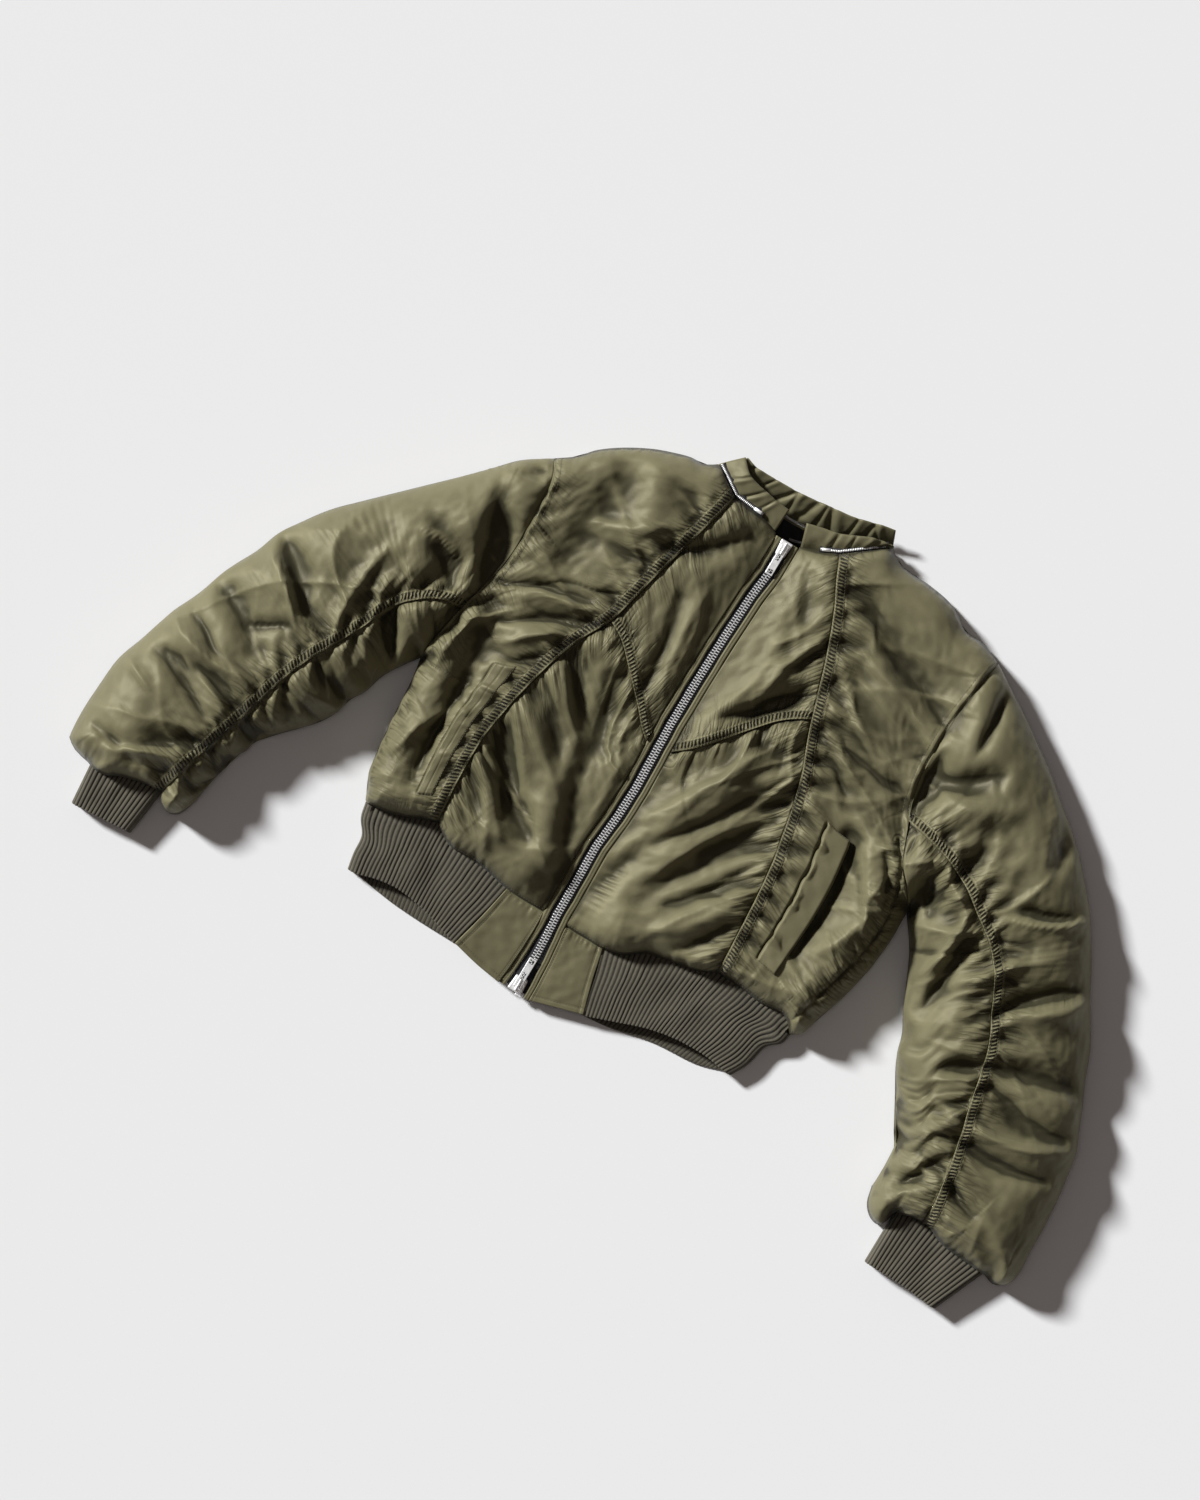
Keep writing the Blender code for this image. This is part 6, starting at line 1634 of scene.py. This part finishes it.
def gatherGroup():
    # fine folds running away from a gathered seam: noise drawn out along them, with a sharp valley where it
    # crosses its middle; fine ones by the seam, wider ones farther out
    group, given, out = newGroup("gatherLines", [("Seam", "Vector", None), ("Reach", "Float", 26.0)],
                                 [("Height", "Float"), ("Valley", "Float")])
    away, along, wide = partsOf(group, given.outputs["Seam"])
    past = maths(group, "MAXIMUM", minus(group, away, wide), 0.0)
    drift = noiseOf(group, 24.0, 1.0)
    sway = times(group, minus(group, drift, 0.5), times(group, past, 0.5))
    begun = ranged(group, minus(group, away, wide), 0.0, 2.0)
    point = linked(group, "ShaderNodeCombineXYZ", {
        0: over(group, plus(group, along, sway), 4.4),
        1: plus(group, over(group, past, 24.0), 0.37),
        2: plus(group, times(group, wide, 0.13), 3.3)})
    ridge = absolute(group, minus(group, noiseOf(group, 1.0, 0.4, point.outputs[0]), 0.5))
    ridge = maths(group, "POWER", maths(group, "MINIMUM", times(group, ridge, 3.2), 1.0), 0.8)
    # some lines run far, others stop short
    reach = times(group, given.outputs["Reach"], ranged(group, drift, 0.3, 0.7, 0.35, 1.7))
    fade = maths(group, "EXPONENT", times(group, over(group, past, reach), -1.0))
    fade = times(group, fade, ranged(group, over(group, past, reach), 2.6, 1.3))
    fade = times(group, fade, begun)
    height = times(group, ridge, fade)
    # Valley: mask for painted shade along the valleys of these folds
    valley = times(group, ranged(group, ridge, 0.45, 0.05), fade)
    feed(group, out, {"Height": height, "Valley": valley})
    return group


groups = {}


def sharedGroups():
    groups["crumple"], groups["twill"], groups["puckers"] = crumpleGroup(), twillGroup(), puckerGroup()
    groups["gathers"] = gatherGroup()


def use(tree, name, sockets):
    node = tree.nodes.new("ShaderNodeGroup")
    node.node_tree = groups[name]
    return feed(tree, node, sockets)


def bumped(tree, skin, layers):
    # bumps stacked one on another: height socket, strength, distance in millimetres
    normal = None
    for height, strength, distance in layers:
        sockets = {"Height": height, "Strength": strength, "Distance": distance * mm}
        if normal is not None:
            sockets["Normal"] = normal
        normal = linked(tree, "ShaderNodeBump", sockets).outputs[0]
    tree.links.new(normal, skin.inputs["Normal"])


def shaded(tree, factor, dark, light):
    node = linked(tree, "ShaderNodeMix", {0: factor, 6: (*dark, 1), 7: (*light, 1)}, data_type="RGBA")
    return node.outputs[2]


# Shell cloth: base colours, gloss and how crumpled it is; the trough, crest and valley entries set painted
# shade in the troughs, a painted highlight on the crests and painted shade in the gather valleys
satin = {
    "colour": (0.138, 0.127, 0.070), "worn": (0.116, 0.107, 0.059), "roughness": 0.49, "specular": 0.34,
    "tint": (1.0, 0.92, 0.66), "crumple": 0.65, "puckers": 2.0, "troughShade": 0.3, "crestHighlight": 1.18,
    "gathers": 1.5, "gatherReach": 16.0, "valleyShade": 0.65,
}


def satinNylon():
    material, tree, skin = nodeTree("satinNylon")
    patch = noiseOf(tree, 9.0, 5.0, Roughness=0.6)
    cloth = shaded(tree, ranged(tree, patch, 0.35, 0.65), satin["worn"], satin["colour"])
    # painted shade darkens the troughs, a painted highlight lightens the crests, and painted shade turns the
    # slots of the puckers nearly black
    trough = attributeOf(tree, "trough", "Fac")
    pucker = use(tree, "puckers", {"Pitch": 7.4})
    depth = ranged(tree, trough, 0.05, 0.9, 1.0, satin["troughShade"])
    crest = ranged(tree, trough, -0.35, 0.0, satin["crestHighlight"], 1.0)
    slotShade = times(tree, ranged(tree, pucker.outputs["Height"], 0.3, 0.7), 0.93)
    folds, valleys = [], []
    for key in ("seam", "seamToo"):
        lines = use(tree, "gathers", {"Seam": attributeOf(tree, key), "Reach": satin["gatherReach"]})
        folds.append(lines.outputs["Height"])
        valleys.append(lines.outputs["Valley"])
    # painted shade along the valleys of the gather lines
    valley = times(tree, maths(tree, "MAXIMUM", *valleys), satin["valleyShade"])
    # the cloth colour times all its painted shade and painted highlight
    tone = times(tree, depth, crest, minus(tree, 1.0, slotShade), minus(tree, 1.0, valley))
    scaled = linked(tree, "ShaderNodeVectorMath", {0: cloth, "Scale": tone}, operation="SCALE").outputs[0]
    rough = ranged(tree, patch, 0.3, 0.7, satin["roughness"] - 0.04, satin["roughness"] + 0.05)
    feed(tree, skin, {"Base Color": scaled, "Roughness": rough, "Specular IOR Level": satin["specular"],
                      "Specular Tint": (*satin["tint"], 1), "Sheen Weight": 0.06, "Sheen Roughness": 0.4})
    crumple = use(tree, "crumple", {"Scale": 1.0})
    twill = use(tree, "twill", {"Pitch": 0.45})
    sunk = times(tree, pucker.outputs["Height"], -1.0)
    bumped(tree, skin, [(crumple.outputs[0], 0.35, satin["crumple"]), (sunk, 0.9, satin["puckers"]),
                        (plus(tree, *folds), 0.8, satin["gathers"]), (twill.outputs[0], 0.25, 0.03)])
    return material


# Knit colours: the groove colour is painted shade, the cord colour the yarn's own
knitYarnAndShade = {"groove": (0.012, 0.011, 0.008), "cord": (0.168, 0.152, 0.112)}


def ribKnit():
    # knitted cords: V-shaped loops down each rib, with painted shade darkening the grooves nearly to black
    material, tree, skin = nodeTree("ribKnit")
    crest, across, down = partsOf(tree, attributeOf(tree, "rib"))
    slope = times(tree, absolute(tree, across), 2.2)
    loops = maths(tree, "SINE", times(tree, plus(tree, down, slope), 2 * math.pi / 1.3))
    fluff, blotch = noiseOf(tree, 900.0, 3.0), noiseOf(tree, 40.0, 4.0)
    light = times(tree, ranged(tree, crest, 0.25, 0.98), ranged(tree, blotch, 0.2, 0.8, 0.78, 1.0),
                  ranged(tree, loops, -1.0, 0.6, 0.72, 1.0))
    yarnAndGrooveShade = shaded(tree, light, knitYarnAndShade["groove"], knitYarnAndShade["cord"])
    feed(tree, skin, {"Base Color": yarnAndGrooveShade, "Roughness": 0.92, "Specular IOR Level": 0.25,
                      "Sheen Weight": 0.08})
    bumped(tree, skin, [(loops, 0.7, 0.35), (fluff, 0.5, 0.3)])
    return material


def tapeCloth(name, colour, roughness, pitch):
    # close woven tape with a herringbone of short slanted threads
    material, tree, skin = nodeTree(name)
    twill = use(tree, "twill", {"Pitch": pitch})
    woven = shaded(tree, ranged(tree, twill.outputs[0], -1.0, 1.0), [v * 0.6 for v in colour], colour)
    feed(tree, skin, {"Base Color": woven, "Roughness": roughness})
    bumped(tree, skin, [(twill.outputs[0], 0.6, 0.12)])
    return material


def threadOf(name, colour):
    material, tree, skin = nodeTree(name)
    spun = shaded(tree, ranged(tree, noiseOf(tree, 2500.0), 0.3, 0.7), [v * 0.75 for v in colour], colour)
    feed(tree, skin, {"Base Color": spun, "Roughness": 0.55})
    return material


def silver(name, colour, roughness):
    # plated metal with rubbed patches and fine scratches
    material, tree, skin = nodeTree(name)
    rubbed, scratch = noiseOf(tree, 260.0, 4.0), noiseOf(tree, 1800.0)
    plated = shaded(tree, ranged(tree, rubbed, 0.3, 0.7), [v * 0.82 for v in colour], colour)
    feed(tree, skin, {"Base Color": plated, "Metallic": 0.55,
                      "Roughness": ranged(tree, rubbed, 0.3, 0.7, roughness + 0.08, roughness - 0.05)})
    bumped(tree, skin, [(scratch, 0.12, 0.05)])
    return material


studio = {
    "floor": (0.83, 0.83, 0.83), "fill": (1.0, 0.83, 0.79), "fillStrength": 0.09,
    "keyPower": 5.38, "keySpread": 8, "keyColour": (0.977, 0.989, 1.0), "keyElevation": 31,
    "keyFrom": (-0.95, 0.16), "boxPower": 16, "boxSize": 2.4, "boxColour": (1.0, 0.97, 0.93),
    "cameraAt": (-0.0507, -0.0107, 4.05), "cameraTurn": 31.06, "viewHeight": 1.5, "viewDistance": 4.0,
}


def stage():
    # pale floor, hard key light from the left sleeve's side, dim even fill, camera straight above
    scene = bpy.context.scene
    scene.view_settings.view_transform = "Standard"
    bpy.ops.mesh.primitive_plane_add(size=8, location=(0, 0, -0.0006))
    floor = bpy.context.object
    floor.name = "floor"
    material, tree, skin = nodeTree("paleFloor")
    feed(tree, skin, {"Base Color": (*studio["floor"], 1), "Roughness": 0.9})
    floor.data.materials.append(material)
    world = bpy.data.worlds.new("fill")
    world.use_nodes = True
    feed(world.node_tree, world.node_tree.nodes["Background"], {
        "Color": (*studio["fill"], 1), "Strength": studio["fillStrength"]})
    scene.world = world
    key = bpy.data.lights.new("key", "SUN")
    key.energy, key.color = studio["keyPower"], studio["keyColour"]
    key.angle = math.radians(studio["keySpread"])
    lamp = bpy.data.objects.new("key", key)
    x, y = studio["keyFrom"]
    lamp.rotation_euler = (math.radians(90 - studio["keyElevation"]), 0, math.atan2(y, x) + math.pi / 2)
    scene.collection.objects.link(lamp)
    box = bpy.data.lights.new("softbox", "AREA")
    box.shape, box.size = "DISK", studio["boxSize"]
    box.energy, box.color = studio["boxPower"], studio["boxColour"]
    lamp = bpy.data.objects.new("softbox", box)
    lamp.location = (-0.4, 0.2, 6.0)
    scene.collection.objects.link(lamp)
    camera = bpy.data.cameras.new("camera")
    camera.sensor_fit = "VERTICAL"
    camera.sensor_height = 36
    camera.lens = 36 * studio["viewDistance"] / studio["viewHeight"]
    camera.clip_end = 50
    eye = bpy.data.objects.new("camera", camera)
    eye.location = studio["cameraAt"]
    eye.rotation_euler = (0, 0, math.radians(studio["cameraTurn"]))
    scene.collection.objects.link(eye)
    scene.camera = eye


sharedGroups()
nylon = satinNylon()
knit = ribKnit()
tape = tapeCloth("blackTape", (0.009, 0.009, 0.014), 0.7, 0.9)
thread = threadOf("oliveThread", (0.125, 0.115, 0.065))
grey = tapeCloth("greyCord", (0.28, 0.28, 0.28), 0.8, 0.7)
black = tapeCloth("blackLining", (0.008, 0.008, 0.009), 0.7, 0.5)
metal = silver("silverMetal", (0.93, 0.93, 0.92), 0.42)
frontPanels(nylon)
print("fronts and side panels done")
sleevePanels(nylon)
backPanel(nylon)
print("sleeves and back done")
for side in ("left", "right"):
    facingSquare(side, nylon)
    welt(side, nylon)
    cuffRib(side, knit)
hemRib(knit)
print("ribs, welts and facings done")
collarPieces(nylon, tape, metal)
neckInside(black, grey)
zipFront(nylon, tape, metal)
sewPanels()
sewAll(thread)
print("collar, zip and stitches done")


def finishes(metal):
    # plated metal on the sliders, pulls and zip end, set on each object's own material slots
    objects = bpy.data.objects
    for name in ("top_slider", "bottom_slider", "top_pull", "bottom_pull", "zip_end"):
        for place in objects[name].material_slots:
            place.link = "OBJECT"
            place.material = metal


stage()
finishes(metal)
